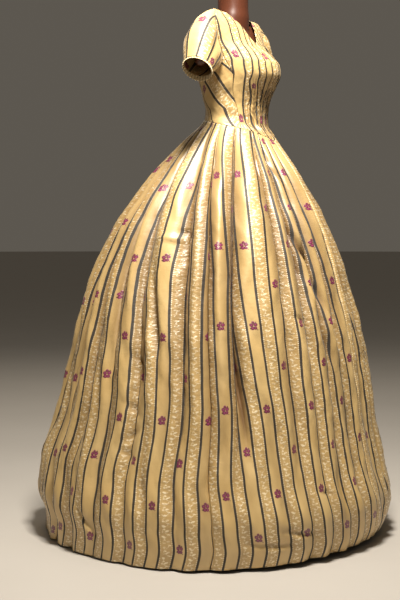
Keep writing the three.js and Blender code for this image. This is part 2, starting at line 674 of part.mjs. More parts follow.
function stand() {
  const height = FORM_FOOT - BASE_HEIGHT - 2 * SEAM_GAP
  const pole = new THREE.CylinderGeometry(POLE_RADIUS, POLE_RADIUS, height, NECK_COLUMNS)
  pole.rotateX(Math.PI / 2).translate(0, 0, (FORM_FOOT + BASE_HEIGHT) / 2)
  const profile = [
    [0, 0],
    [BASE_RADIUS - BASE_EDGE, 0],
    [BASE_RADIUS, BASE_EDGE],
    [BASE_RADIUS, BASE_HEIGHT - BASE_BEVEL],
    [BASE_RADIUS - BASE_BEVEL, BASE_HEIGHT],
    [0, BASE_HEIGHT],
  ]
  const points = profile.map(([radius, z]) => new THREE.Vector2(radius, z))
  const base = new THREE.LatheGeometry(points, BASE_COLUMNS)
  base.rotateX(Math.PI / 2)
  return [piece('stand_pole', pole, COLOURS.stand), piece('stand_base', base, COLOURS.stand)]
}

// ---- the whole ----

const gown = new THREE.Group()
gown.add(...skirtPieces())
for (const [side, mirror] of [['right', -1], ['left', 1]]) {
  gown.add(...bodicePieces(side, mirror), sleeve(side, mirror), sleeveTrim(side, mirror))
}
gown.add(dressForm(), ...stand())

export default gown
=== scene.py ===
"""The looks of a striped silk gown on a dress form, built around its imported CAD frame. Metres, +Z up."""
import math
from collections import namedtuple
from functools import partialmethod

import bpy
import numpy as np
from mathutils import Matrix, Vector


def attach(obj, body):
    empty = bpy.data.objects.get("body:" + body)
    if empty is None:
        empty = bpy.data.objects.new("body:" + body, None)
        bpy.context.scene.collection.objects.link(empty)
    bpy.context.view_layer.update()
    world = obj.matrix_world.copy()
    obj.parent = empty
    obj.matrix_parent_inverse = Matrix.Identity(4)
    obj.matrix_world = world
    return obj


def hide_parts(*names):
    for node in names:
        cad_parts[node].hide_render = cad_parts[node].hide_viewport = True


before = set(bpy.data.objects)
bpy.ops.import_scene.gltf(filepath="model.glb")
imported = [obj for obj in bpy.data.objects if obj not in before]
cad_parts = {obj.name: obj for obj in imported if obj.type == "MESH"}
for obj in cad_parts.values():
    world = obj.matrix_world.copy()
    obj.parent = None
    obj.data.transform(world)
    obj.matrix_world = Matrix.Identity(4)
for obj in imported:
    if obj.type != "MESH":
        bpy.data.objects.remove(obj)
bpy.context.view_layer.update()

# ---- sizes ----
MM = 0.001
SIDES = (("right", -1), ("left", 1))  # the wearer's sides, and the way each lies along X

BAND = 33.4 * MM  # from one woven line to the next
SKIRT_HALF = 44  # bands from centre front to centre back
WIDTH_BANDS = 16  # bands in one width of silk
REPEAT = 204 * MM  # from one sprig to the next along a band
LEAST_SHOWN = 0.5  # gathers hide at most this share of a band from a woven line
CLOTH = 1.2 * MM  # the shell's wall
SEAM_GAP = 0.3 * MM
WAIST_GAP = 0.6 * MM
ARMHOLE_GAP = 1.0 * MM

SKIRT_LENGTH = 1.12  # of the silk, from the waist seam to the hem
SKIRT_ROWS = 170
ROW_CROWDING = 1.12  # the power that crowds the rows toward the waist
COLUMNS_PER_BAND = 6
SQUEEZE = 0.08  # what shows of a folded-in band, as a share of its width
MID = 0.35  # how far down the skirt the pleats' second pair of places lies
WIDTH_TUCK = 1.2 * MM  # how far a width turns in at its seams
FOLD_REACH = 0.6  # bands beside a fold over which the cloth leans into it
FULL_FOLD = 0.6  # bands folded in where a fold's painted shade is at its darkest
LEAN_DEPTH = 0.95  # shares of a fold's depth beside it and inside it
SLIT_DEPTH = 0.9
# painted shade of the cloth leaning in beside a fold, as a share
LEAN_SHADE = 0.72
BULGE = 9 * MM  # how far the cloth rounds out between folds that are BULGE_BANDS apart or more
BULGE_BANDS = 1.2
CREASE_GAIN = 1.25  # how much deeper the creases are than their tables say
CREASE_DARK = 22 * MM  # the depth at which a crease's painted shade would be full
CREASE_SHADE = 0.75  # the most painted shade of a crease

BODICE_COLUMNS = 72
BODICE_ROWS = 104
BODICE_TURN_IN = math.degrees(0.27 / 127)  # from seam to edge: 0.27 mm at a radius of 127 mm, as degrees
WAIST_FIT = 0.4  # share of the way up over which a piece's lower edge follows the waist seam
ARMHOLE_UP = 0.6  # shares of the way up a piece's edge: the underarm, and the front's notch
ARMHOLE_NOTCH = 0.72
ARMHOLE_SAG = 16 * MM
ARMHOLE_SHARES = {"shoulder": 0.3, "back": 0.6, "front": 0.82}
RELIEF_RISE = 5 * MM  # above the waist seam, where folds begin
RELIEF_STEPS = (-0.5, 3)  # rows or columns from an edge, where folds begin
EDGE_TUCK = 0.7 * MM  # how far a bodice piece turns in at its edges
EDGE_TUCK_STEPS = 1.1
BUST_EASE = 40 * MM  # silk taken up by the gathers below the bust
BUST_EASE_HEIGHTS = (1.14, 1.24)

# Small folds of the bodice: how high they stand, then the stretches, in metres, over which they fade out
# round from centre front, begin above the waist and end. Unless it is given, a stretch lies off the bodice.
Folds = namedtuple("Folds", "height out foot top", defaults=((8, 9), (0, 0.1), (8, 9)))
GATHERS = Folds(1.5 * MM, out=(0.060, 0.096), top=(1.17, 1.235))
SOFT_FOLDS = Folds(0.6 * MM, (0.080, 0.125), (1.15, 1.22), (1.25, 1.33))
PUCKERS = Folds(0.7 * MM, (0.050, 0.078), (1.105, 1.13), (1.17, 1.195))
SIDE_FOLDS = Folds(1.1 * MM, foot=(1.08, 1.12), top=(1.19, 1.24))
BACK_FOLDS = Folds(0.9 * MM, top=(1.13, 1.24))
GATHERS_PER_BAND = 2.1
PUCKER_PITCH = 0.0125
SIDE_FOLD_PITCH = {"up": 0.052, "round": 0.30}
BACK_FOLD_PITCH = 0.045
# The underarm piece's stripes: their slant, where they start, and how they crowd and bend toward the waist.
BIAS = math.radians(40)
BIAS_START = 0.8117
BIAS_CROWDING = 0.92
BIAS_BEND = 17  # bands a metre, below BIAS_BEND_TOP
BIAS_BEND_TOP = 1.130
BACK_CROWDING = 0.62  # of the back's stripes at the waist, gone at the top of BACK_FAN
BACK_FAN = (1.10, 1.27)

SLEEVE_RADIUS = 38 * MM
SLEEVE_COLUMNS = 176
SLEEVE_ROWS = 64
SLEEVE_BANDS = 8  # bands round the arm
FIRST_SLEEVE_BAND = 4  # keeps the sprigs' columns on the sleeve's bands
FIRST_SLEEVE_LINE = 0.081  # turn round the arm of one woven line
FLAT_PUFF = 0.35  # bulge under and before the arm, as a share of the fullest
PUFF_LEAN = 0.06  # turn by which the fullest part lies behind the top of the arm
SLEEVE_TUCKS = 46  # small tucks where the sleeve's head meets the armhole
TUCK_HEIGHT = 0.8 * MM
# the crease depth at which a sleeve crease's painted shade is full
SLEEVE_DARK = 5 * MM
TRIM_WALL = 1.2 * MM
TRIM_ROWS = 8
TRIM_REACH = {"above": 4 * MM, "below": 13 * MM}
TRIM_FLARE = 0.07
TRIM_INSET = 0.6 * MM
TRIM_GATHERS = 30
TRIM_GATHER_HEIGHT = 1.3 * MM

FORM_CLEARANCE = 11 * MM  # from the gown's outside to the form
FORM_HEIGHTS = (1.112, 1.374)
SHOULDER_TUCK = 0.75
STUB_RADIUS = 20 * MM
STUB_RECESS = 12 * MM
FORM_VOXEL = 4 * MM
FORM_POINTS = 96  # round each ring

# Ripples of the silk: how wide, how long and how high, in millimetres.
SKIRT_RIPPLES = ((90, 500, 2.4), (38, 170, 1.2), (21, 80, 0.6))
BODICE_RIPPLES = ((30, 60, 0.5),)
RIPPLE_WAVES = 5  # of each size

# The gown's outline in millimetres, shoulder to hem: half-width, and depth before and behind the axis.
SECTIONS = """
z    side front back
1384 150  0.4   0.4
1380 152  13    15
1370 155  23    35
1350 154  39    63
1325 147  52    84
1300 138  67    97
1275 131  96    102
1250 127  117   101
1225 123  121   96
1195 117  107   88
1162 110  90    79
1135 105  84    73
1112 105  83    74
1092 110  84    90
1072 122  96    119
1045 142  116   155
1010 167  142   194
957  206  178   242
900  243  208   288
830  283  243   336
739  322  277   382
648  354  304   416
545  384  333   441
408  415  357   474
304  436  371   506
203  460  391   546
110  478  414   550
53   478  405   524
5    476  383   526
"""
# The dress form below the waist, and its neck.
HIPS = """
z    side front back
1060 104  86    90
1000 121  96    110
940  132  102   122
870  134  103   124
"""
NECK = """
z    side front back
1345 44   33    38
1366 47   34    36
1378 47   35    39
1387 45   34    44
1400 42   33    48
1420 41   33    49
1440 41   33    49
1449 38.5 30.5  46.5
1454 31   23    39
1456 18   10    26
"""
# Heights of the waist seam and the hem, by degrees round from centre front.
WAIST_SEAM = """
degrees z
0       1048
22      1063
55      1080
90      1091
135     1103
180     1110
"""
HEM = """
degrees z
0       17
60      9
100     5
180     5
"""
# Pleats of each half, in bands from centre front: the cloth folded in at the waist and at MID, and the line
# it opens into. Then how far down the skirt (0 waist, 1 hem) it is flat, and its depth in millimetres.
PLEATS_RIGHT = """
from to   mid_from mid_to heart opens deep
0.8  2.2  1.2      1.9    1.6   0.6   13
2.7  4.4  3.2      4.0    3.6   0.75  17
4.9  6.6  5.4      6.1    5.8   0.6   18
7.1  8.9  7.6      8.0    7.8   0.5   16
10.3 13.1 11.4     13.9   13.5  0.8   20
14.5 17.5 15.3     16.8   16    1.05  15
18.3 20.9 18.3     19.1   18.9  1.0   22
22.3 24.6 22.6     23.6   23.2  0.8   22
25.0 27.2 25.4     26.6   26.0  0.6   17
27.7 30.3 28.2     29.7   29.0  0.8   20
30.7 33.3 31.2     32.7   32    0.65  18
33.7 36.5 34.3     35.9   35.0  0.8   24
36.9 39.6 37.4     38.9   38.2  0.7   18
40.0 43.4 40.7     42.6   41.6  0.85  22
"""
PLEATS_LEFT = """
from to   mid_from mid_to heart opens deep
0.9  2.3  1.3      1.9    1.6   0.55  14
2.8  4.6  3.3      4.1    3.7   0.7   17
5.1  6.7  5.5      6.3    5.9   0.5   20
7.3  9.0  7.7      8.5    8.1   0.6   16
10.5 13.2 11.1     12.4   11.8  0.75  18
14.7 17.3 15.2     16.7   16    1.0   16
18.3 21.0 19.2     20.6   20.2  0.7   22
21.7 24.1 22.3     23.5   22.9  0.8   19
24.7 27.0 25.2     26.1   25.6  0.6   18
27.6 30.1 28.1     29.4   28.7  0.75  22
30.5 33.4 31.3     32.8   32    0.8   17
33.8 36.4 34.5     35.8   35.2  0.65  20
36.8 39.7 37.4     38.9   38.0  0.85  22
40.1 43.3 41.0     42.7   42.0  0.7   18
"""
# Down the skirt: shares of the pleats' depth and of the rounding between them, and the bands by which the
# cloth at centre front hangs toward the wearer's right.
PLEAT_LIFE = """
down depth bulge
0    0     0
0.03 0.3   0.5
0.1  0.8   1
0.3  1     0.8
0.55 0.8   0.45
0.8  0.5   0.3
1    0.35  0.25
"""
SWAY = """
down bands
0    0
0.3  0.25
0.6  0.75
0.85 0.95
1    0
"""
# Creases of each half: where (band, down), half-length and half-width in millimetres, degrees off upright,
# and depth in millimetres, negative for a ridge.
CREASES_RIGHT = """
band down  run wide tilt deep
0.6  0.45  210 12   -3   5
4.0  0.33  95  9    24   17
4.9  0.075 34  6    12   9
8.8  0.10  50  6    3    11
12.5 0.58  150 8    1    16
15.1 0.35  110 8    0    9
18.8 0.24  150 11   2    15
21.2 0.46  120 10   4    15
22.5 0.585 24  8    10   10
2.2  0.70  190 14   4    5
3.4  0.50  90  9    16   6
4.2  0.42  60  8    24   -5
4.4  0.86  120 13   -5   6
5.6  0.30  75  9    14   8
6.2  0.60  150 14   3    -4
6.1  0.85  26  5    72   4
6.6  0.45  22  6    66   4
8.2  0.64  190 13   -2   6
8.9  0.93  45  6    80   7
9.4  0.36  150 15   2    -4
10.2 0.80  170 14   3    6
11.3 0.95  60  6    84   6
12.2 0.62  120 12   -4   6
12.9 0.42  100 9    2    7
14.6 0.72  200 13   2    6
15.3 0.40  160 14   -2   -4
16.9 0.88  130 12   3    5
17.5 0.55  180 14   -2   -4
18.6 0.27  24  6    82   5
19.4 0.262 22  5    88   7
20.4 0.275 26  6    80   -5
20.6 0.18  70  14   5    -6
20.1 0.60  190 13   -3   6
21.5 0.80  150 12   4    6
22.4 0.52  90  10   -8   8
23.0 0.56  32  9    55   5
23.4 0.60  30  9    -50  -3
23.5 0.66  32  9    60   4
23.2 0.72  34  9    -58  4
23.4 0.76  26  8    64   4
24.8 0.42  150 13   5    6
25.7 0.75  180 13   -3   6
26.9 0.92  40  6    42   5
27.4 0.60  170 14   4    7
28.6 0.45  120 12   -6   6
29.8 0.80  160 13   2    7
31.2 0.55  150 13   -4   6
33.0 0.70  180 14   4    7
34.3 0.90  34  6    70   4
35.8 0.62  170 14   -3   6
37.6 0.80  150 13   5    6
39.3 0.55  180 14   -2   7
41.0 0.75  170 14   4    6
42.8 0.60  160 13   -4   6
"""
CREASES_LEFT = """
band down run wide tilt deep
1.1  0.62 180 13   3    5
2.6  0.45 130 12   -5   5
3.9  0.78 160 13   2    6
5.3  0.50 80  9    18   7
6.4  0.86 30  6    70   4
7.2  0.62 170 14   -3   -4
8.8  0.40 150 13   3    5
9.9  0.74 180 13   -2   6
11.4 0.55 110 12   6    6
12.6 0.90 50  6    80   3
13.6 0.66 170 13   -4   6
15.1 0.38 140 14   2    -4
16.8 0.80 160 12   3    5
18.2 0.52 170 14   -3   6
19.6 0.29 26  6    78   5
20.7 0.68 180 13   4    6
22.1 0.85 120 12   -3   6
23.3 0.58 26  6    -56  5
24.2 0.46 150 13   -5   6
25.9 0.76 170 13   3    6
27.5 0.60 160 14   -4   7
29.0 0.84 44  6    58   4
30.3 0.50 140 13   5    6
31.6 0.74 170 13   -2   6
33.2 0.58 160 14   3    7
34.9 0.86 140 12   -5   6
36.4 0.52 160 13   4    6
38.2 0.76 170 14   -3   6
40.0 0.60 160 13   3    7
41.8 0.82 150 13   -4   6
"""

# Edges of the bodice pieces: share of the way up, degrees round from centre front, height in millimetres.
FRONT_EDGE = """
up  degrees z
0   0       1048
0.6 0       1302
0.7 7       1319
0.8 15      1347
0.9 24      1371
1   33      1384
"""
SIDE_FRONT_EDGE = """
up   degrees z
0    48      1077
0.25 57      1130
0.4  65      1175
0.5  67      1212
0.6  77      1262
0.7  77      1290
0.85 72      1345
1    60      1384
"""
SIDE_BACK_EDGE = """
up  degrees z
0   158     1107
0.3 148     1165
0.6 108     1262
0.8 113     1325
1   120     1384
"""
BACK_EDGE = """
up   degrees z
0    180     1110
0.75 180     1352
0.88 164     1372
1    147     1384
"""

# The woven lines of the fan front: millimetres round from centre front to each line, by height.
FAN = """
z    line1 line2 line3 line4 line5 line6
1046 9     17    27    45    68    100
1100 9     18    33    56    76    98
1158 12    25    41    64    87    117
1205 20    42    66    90    105   136
1240 25    50    73    92    115   146
1300 14    35    57    80    108   142
1350 4     20    44    72    106   145
1386 2     18    42    78    112   149
"""

# The sleeve's bulge in millimetres down the arm. Its creases: turn round the arm, share of the way down it,
# reach in turns and in shares, and depth in millimetres.
PUFF = """
along puff
0     0
0.12  14
0.3   25
0.5   26
0.7   19
0.86  9
1     0
"""
SLEEVE_CREASES = """
turn along round far  deep
0.08 0.35  0.035 0.30 2.2
0.20 0.20  0.030 0.22 -1.6
0.36 0.45  0.030 0.30 2.0
0.50 0.30  0.035 0.25 2.6
0.62 0.60  0.040 0.25 2.4
0.74 0.40  0.030 0.30 2.8
0.83 0.55  0.030 0.22 -2.0
0.90 0.35  0.030 0.30 2.6
0.97 0.62  0.025 0.20 1.8
"""
SHOULDER = np.array([120, 8, 1312]) * MM
# Where each sleeve ends, both as on the left side: the left one hangs nearer the body and further back.
SLEEVE_END = {"right": np.array([217, 3, 1226]) * MM, "left": np.array([206, 16, 1234]) * MM}
ARM = np.array([0.569, 0, -0.822])
ACROSS_FRONT = np.array([0, -1, 0])
ACROSS_OUT = np.array([0.822, 0, 0.569])

# Where the sprigs start above the hem or the waist in each piece, in shares of a repeat.
SPRIG_START = {
    "skirt_front_right": 0.868, "skirt_side_right": 0.24, "skirt_back_right": 0.62,
    "skirt_front_left": 0.35, "skirt_side_left": 0.78, "skirt_back_left": 0.15,
    "bodice_front": 0.77, "bodice_side": 0.55, "bodice_back": 0.1, "sleeve": 0.06,
}


# ---- tables and curves ----
def table(text, *lengths):
    """A text table as {column: array}, in rising order of its first column, the named lengths in metres."""
    head, *rows = [line.split() for line in text.strip().splitlines()]
    values = np.array(rows, float)
    values = values[np.argsort(values[:, 0], kind="stable")]
    return {name: values[:, i] * (MM if name in lengths else 1) for i, name in enumerate(head)}


def curve(rows, key, column, at):
    """A column at values of its key, on a cubic through the rows that never overshoots them."""
    x, y = rows[key], rows[column]
    at = np.clip(np.asarray(at, float), x[0], x[-1])
    slopes = np.diff(y) / np.diff(x)
    before, after = slopes[:-1], slopes[1:]
    rising = before * after > 0
    inner = np.zeros(len(before))
    inner[rising] = 2 * (before * after)[rising] / (before + after)[rising]
    tangents = np.concatenate([slopes[:1], inner, slopes[-1:]])
    i = np.clip(np.searchsorted(x, at, side="right") - 1, 0, len(x) - 2)
    step = x[i + 1] - x[i]
    t = (at - x[i]) / step
    cubic = (2 * t - 3) * t * t
    bend = t * (1 - t) * ((1 - t) * tangents[i] - t * tangents[i + 1]) * step
    return (cubic + 1) * y[i] - cubic * y[i + 1] + bend


def mix(a, b, t):
    return a + (b - a) * t


def smooth(low, high, value):
    t = np.clip((value - low) / (high - low), 0, 1)
    return t * t * (3 - 2 * t)


def fade(stretch, value):
    """1 before a stretch and 0 after it."""
    return 1 - smooth(*stretch, value)


def wave(turns):
    """A sine wave by full turns."""
    return np.sin(2 * math.pi * turns)


OUTLINE = ("z", "side", "front", "back")
sections = table(SECTIONS, *OUTLINE)
hips = table(HIPS, *OUTLINE)
neck = table(NECK, *OUTLINE)
waist_seam = table(WAIST_SEAM, "z")
hem = table(HEM, "z")
pleats = {-1: table(PLEATS_RIGHT, "deep"), 1: table(PLEATS_LEFT, "deep")}
creases = {
    side: table(rows, "run", "wide", "deep") for side, rows in ((-1, CREASES_RIGHT), (1, CREASES_LEFT))
}
life = table(PLEAT_LIFE)
sway = table(SWAY)
front_edge, side_front_edge, side_back_edge, back_edge = (
    table(edge, "z") for edge in (FRONT_EDGE, SIDE_FRONT_EDGE, SIDE_BACK_EDGE, BACK_EDGE)
)
fan = table(FAN, "z", *(f"line{n}" for n in range(1, 7)))
puff = table(PUFF, "puff")
sleeve_creases = table(SLEEVE_CREASES, "deep")


def on_outline(rows, angle, z):
    """Points of a stack of half-ellipses at angles round from centre front and heights."""
    angle, z = np.broadcast_arrays(angle, z)
    side, front, back = (curve(rows, "z", name, z) for name in OUTLINE[1:])
    depth = np.where(np.cos(angle) > 0, front, back)
    return np.stack([side * np.sin(angle), -depth * np.cos(angle), z], -1)


def unit(vectors):
    return vectors / np.maximum(np.linalg.norm(vectors, axis=-1, keepdims=True), 1e-12)


def gown_normal(angle, z):
    """The gown's outward direction, level along the shoulder seam so that front and back meet there."""
    top = sections["z"][-1]
    step = 2 * MM
    high = np.minimum(z + step, top)
    round_it = on_outline(sections, angle + 0.02, z) - on_outline(sections, angle - 0.02, z)
    up = on_outline(sections, angle, high) - on_outline(sections, angle, high - 2 * step)
    normal = unit(np.cross(round_it, up))
    normal[..., 1] *= 1 - smooth(top - 6 * MM, top, z)
    return unit(normal)


def ripples(across, along, seed, sizes):
    """Small uneven waves of a few sizes over a sheet, alike each time; across and along are in metres."""
    random = np.random.default_rng(seed)
    total = np.zeros(np.broadcast(across, along).shape)
    for wide, long, height in np.array(sizes) * MM:
        for _ in range(RIPPLE_WAVES):
            turn = random.uniform(-0.5, 0.5)
            scale = random.uniform(0.7, 1.4)
            phase = random.uniform(0, 1)
            x = across / (wide * scale) + turn * along / wide * 0.4
            y = along / (long * scale)
            total += height * 0.45 * wave(x + 0.35 * wave(y) + phase) * wave(y + 2 * phase)
    return total


# ---- meshes ----
def grid_normals(points, closed=False):
    """Directions square to a grid whose columns run toward the wearer's left and whose rows run down."""
    if closed:
        across = np.roll(points, -1, 1) - np.roll(points, 1, 1)
    else:
        across = np.gradient(points, axis=1)
    down = np.gradient(points, axis=0)
    return unit(np.cross(across, -down))


def add_object(name, data):
    made = bpy.data.objects.new(name, data)
    bpy.context.scene.collection.objects.link(made)
    return made


def shell(name, points, cloth, shade, material, wall=CLOTH, closed=False):
    """A thin closed shell: the grid `points` outside and another one wall's thickness inside it.

    cloth holds each point's place on the flat silk, (bands across, metres along), and shade how deep in a
    fold it is, as painted shade darkening the colour there. A closed shell's last column joins its first.
    """
    rows, columns = points.shape[:2]
    inner = points - grid_normals(points, closed) * wall
    vertices = np.concatenate([points.reshape(-1, 3), inner.reshape(-1, 3)])
    ids = np.arange(rows * columns).reshape(rows, columns)
    if closed:
        ids = np.concatenate([ids, ids[:, :1]], 1)
    inside = ids + rows * columns

    def strip(a, b):
        """Faces between two lines of vertices."""
        return np.stack([a[:-1], b[:-1], b[1:], a[1:]], -1)

    parts = [strip(ids[r], ids[r + 1]) for r in range(rows - 1)]
    parts += [strip(inside[r + 1], inside[r]) for r in range(rows - 1)]
    parts += [strip(inside[0], ids[0]), strip(ids[-1], inside[-1])]
    if not closed:
        parts += [strip(ids[:, 0], inside[:, 0]), strip(inside[:, -1], ids[:, -1])]
    faces = np.concatenate(parts)
    mesh = bpy.data.meshes.new(name)
    mesh.from_pydata(vertices.tolist(), [], faces.tolist())
    uv = np.tile(cloth.reshape(-1, 2), (2, 1))[faces]
    if closed:
        # where the last column joins the first, the silk runs on instead of starting again
        column = faces % columns
        joins = (column == 0) & (column == columns - 1).any(1, keepdims=True)
        step = cloth[0, 1, 0] - cloth[0, 0, 0]
        uv[joins] = cloth[(faces // columns % rows)[joins], -1] + [step, 0]
    mesh.uv_layers.new(name="cloth").uv.foreach_set("vector", uv.astype(np.float32).ravel())
    reach = np.linalg.norm(np.gradient(points, axis=1), axis=-1)
    silk_reach = np.abs(np.gradient(cloth[..., 0], axis=1)) * BAND
    shown = np.clip(reach / np.maximum(silk_reach, 1e-6), LEAST_SHOWN, 1)
    # the first attribute is painted shade, darkening the colour in folds; the second is how much of a band
    # shows
    for attribute, values in (("fold_painted_shade", shade), ("shown", shown)):
        layer = mesh.attributes.new(attribute, "FLOAT", "POINT")
        layer.data.foreach_set("value", np.tile(values.ravel(), 2).astype(np.float32))
    mesh.polygons.foreach_set("use_smooth", [True] * len(mesh.polygons))
    mesh.materials.append(material)
    return add_object(name, mesh)


def settle(piece, slot, *nodes):
    """Puts a finished piece on the one body, in place of its CAD nodes."""
    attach(piece, "root")
    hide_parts(*nodes)


# ---- node trees ----
def feed(tree, socket, value):
    """Sets a socket to a number or a colour, or links a wire to it."""
    if isinstance(value, Wire):
        tree.links.new(value.socket, socket)
    else:
        socket.default_value = value


class Wire:
    """A value in a node tree that can be added, multiplied and compared like a number."""

    def __init__(self, tree, socket):
        self.tree = tree
        self.socket = socket

    def math(self, operation, *others, clamp=False):
        node = self.tree.nodes.new("ShaderNodeMath")
        node.operation = operation
        node.use_clamp = clamp
        for socket, value in zip(node.inputs, (self, *others)):
            feed(self.tree, socket, value)
        return Wire(self.tree, node.outputs[0])

    def within(self, reach, soft):
        """1 where the value is under `reach`, falling to 0 over `soft`."""
        return (self * -1 + reach).math("DIVIDE", soft, clamp=True)

    def from_nearest(self, pitch, start=0.0):
        """How far the value is past the nearest of some places, one pitch apart."""
        return ((self / pitch + start).fraction() - 0.5) * pitch


for method, operation in {
    "__add__": "ADD", "__sub__": "SUBTRACT", "__mul__": "MULTIPLY", "__truediv__": "DIVIDE",
    "floor": "FLOOR", "fraction": "FRACT", "size": "ABSOLUTE", "sine": "SINE", "root": "SQRT",
    "lesser": "MINIMUM", "greater": "MAXIMUM", "modulo": "FLOORED_MODULO",
    "above": "GREATER_THAN", "below": "LESS_THAN",
}.items():
    setattr(Wire, method, partialmethod(Wire.math, operation))


class Tree:
    """A new material's node tree, with short ways to make the nodes that the finishes share."""

    def __init__(self, name):
        self.material = bpy.data.materials.new(name)
        self.material.use_nodes = True
        self.tree = self.material.node_tree

    def set(self, node, **inputs):
        for name, value in inputs.items():
            feed(self.tree, node.inputs[name.replace("_", " ")], value)
        return node

    def node(self, kind, **inputs):
        return self.set(self.tree.nodes.new(kind), **inputs)

    def wire(self, node, name):
        return Wire(self.tree, node.outputs[name])

    def cloth(self):
        """Bands across the silk and metres along it."""
        node = self.node("ShaderNodeUVMap")
        node.uv_map = "cloth"
        split = self.node("ShaderNodeSeparateXYZ", Vector=self.wire(node, "UV"))
        return self.wire(split, "X"), self.wire(split, "Y")

    def attribute(self, name):
        node = self.node("ShaderNodeAttribute")
        node.attribute_name = name
        return self.wire(node, "Fac")

    def vector(self, x, y):
        return self.wire(self.node("ShaderNodeCombineXYZ", X=x, Y=y), "Vector")

    def place(self):
        """The point's place on the object, in metres."""
        return self.wire(self.node("ShaderNodeTexCoord"), "Object")

    def noise(self, vector, scale, detail=2.0, roughness=0.5):
        node = self.node(
            "ShaderNodeTexNoise", Vector=vector, Scale=scale, Detail=detail, Roughness=roughness,
        )
        return self.wire(node, "Fac")

    def blend(self, share, first, second, kind="MIX"):
        node = self.node("ShaderNodeMix")
        node.data_type = "RGBA"
        node.blend_type = kind
        for place, value in ((0, share), (6, first), (7, second)):
            feed(self.tree, node.inputs[place], value)
        return Wire(self.tree, node.outputs[2])

    def bump(self, height, strength, distance, **below):
        """Relief on top of the smooth surface, or on top of the relief given as Normal."""
        node = self.node("ShaderNodeBump", Height=height, Strength=strength, Distance=distance, **below)
        return self.wire(node, "Normal")

    def finish(self, **inputs):
        self.set(self.tree.nodes["Principled BSDF"], **inputs)
        return self.material


# ---- finishes ----
# Colours: linear red, green and blue, and opacity.
IVORY = (0.56, 0.36, 0.12, 1)
IVORY_LIGHT = (0.70, 0.52, 0.25, 1)
BROCADE_GROUND = (0.53, 0.355, 0.14, 1)
BROCADE_FIGURE = (0.86, 0.74, 0.50, 1)
LINE_BROWN = (0.006, 0.003, 0.002, 1)
SPRIG_PURPLE = (0.10, 0.004, 0.030, 1)
SPRIG_PINK = (0.33, 0.045, 0.16, 1)
SPRIG_DARK = (0.040, 0.004, 0.006, 1)
# painted shade: the dark brown that the silk's colour is darkened toward where it lies in folds and creases
FOLD_PAINTED_SHADE = (0.13, 0.055, 0.014, 1)
EDGING_CREAM = ((0.70, 0.56, 0.30, 1), (0.86, 0.75, 0.50, 1))
# painted shade: the brown that the edging's colour is darkened toward in its gathers
EDGING_PAINTED_SHADE = (0.34, 0.22, 0.09, 1)
FORM_BROWN = ((0.050, 0.014, 0.007, 1), (0.105, 0.030, 0.012, 1))
METAL_BLACK = (0.018, 0.013, 0.010, 1)
METAL_WORN = (0.10, 0.075, 0.05, 1)

# The woven design, in millimetres. A sprig's petals and leaves: across and along from its middle, radius.
PETALS = ((-4.8, 3.0, 4.8), (4.7, 4.0, 4.8), (-2.6, -4.8, 4.8), (4.0, -4.6, 4.2), (-0.4, 9.2, 3.6))
LEAVES = ((-7.2, -5.6, 2.6), (8.8, -9.0, 1.6), (6.0, 9.4, 2.0))
SPRIG_RIM = 0.9
LINE_HALF = 3.2
SEAM_LINE_HALF = 1.5
# Parts of the brocaded vine: pitch along the band, place or sway across it, radius, softness of the edge.
Part = namedtuple("Part", "pitch across radius soft")
STEM = Part(26, 5.2, 0.8, 0.5)
LEAF = Part(6.5, 3.6, 2.5, 0.8)
DOT = Part(5.2, 13.0, 1.7, 0.6)
FLOWER = Part(13, 1.0, 3.2, 1.0)
RIB_PITCH = 1.1


def distance(across, along):
    return (across * across + along * along).root()


def spots(across, along, places, grow=0.0):
    """How far outside the nearest of some discs a place is, negative inside."""
    nearest = None
    for x, y, radius in places:
        away = distance(across - x, along - y) - (radius + grow)
        nearest = away if nearest is None else nearest.lesser(away)
    return nearest


def brocade_vine(across, up):
    """A waving stem with leaves on both sides, dots near the band's edges and flowers in its bends."""
    sway = (up * (2 * math.pi / STEM.pitch)).sine() * STEM.across
    off_stem = across - sway
    turn = ((up / LEAF.pitch).floor().modulo(2.0) - 0.5) * 2
    leaf_across = (off_stem - turn * LEAF.across) * 0.8
    leaf_up = up.from_nearest(LEAF.pitch) + off_stem * turn * 0.7
    leaves = distance(leaf_across, leaf_up * math.sqrt(0.9))
    dots = distance(across.size() - DOT.across, up.from_nearest(DOT.pitch))
    flower_across = (across + sway).size() - FLOWER.across
    flowers = distance(flower_across * math.sqrt(0.8), up.from_nearest(FLOWER.pitch, 0.25))
    vine = off_stem.size().within(STEM.radius, STEM.soft)
    for part, away in ((LEAF, leaves), (DOT, dots), (FLOWER, flowers)):
        vine = vine.greater(away.within(part.radius, part.soft))
    return vine


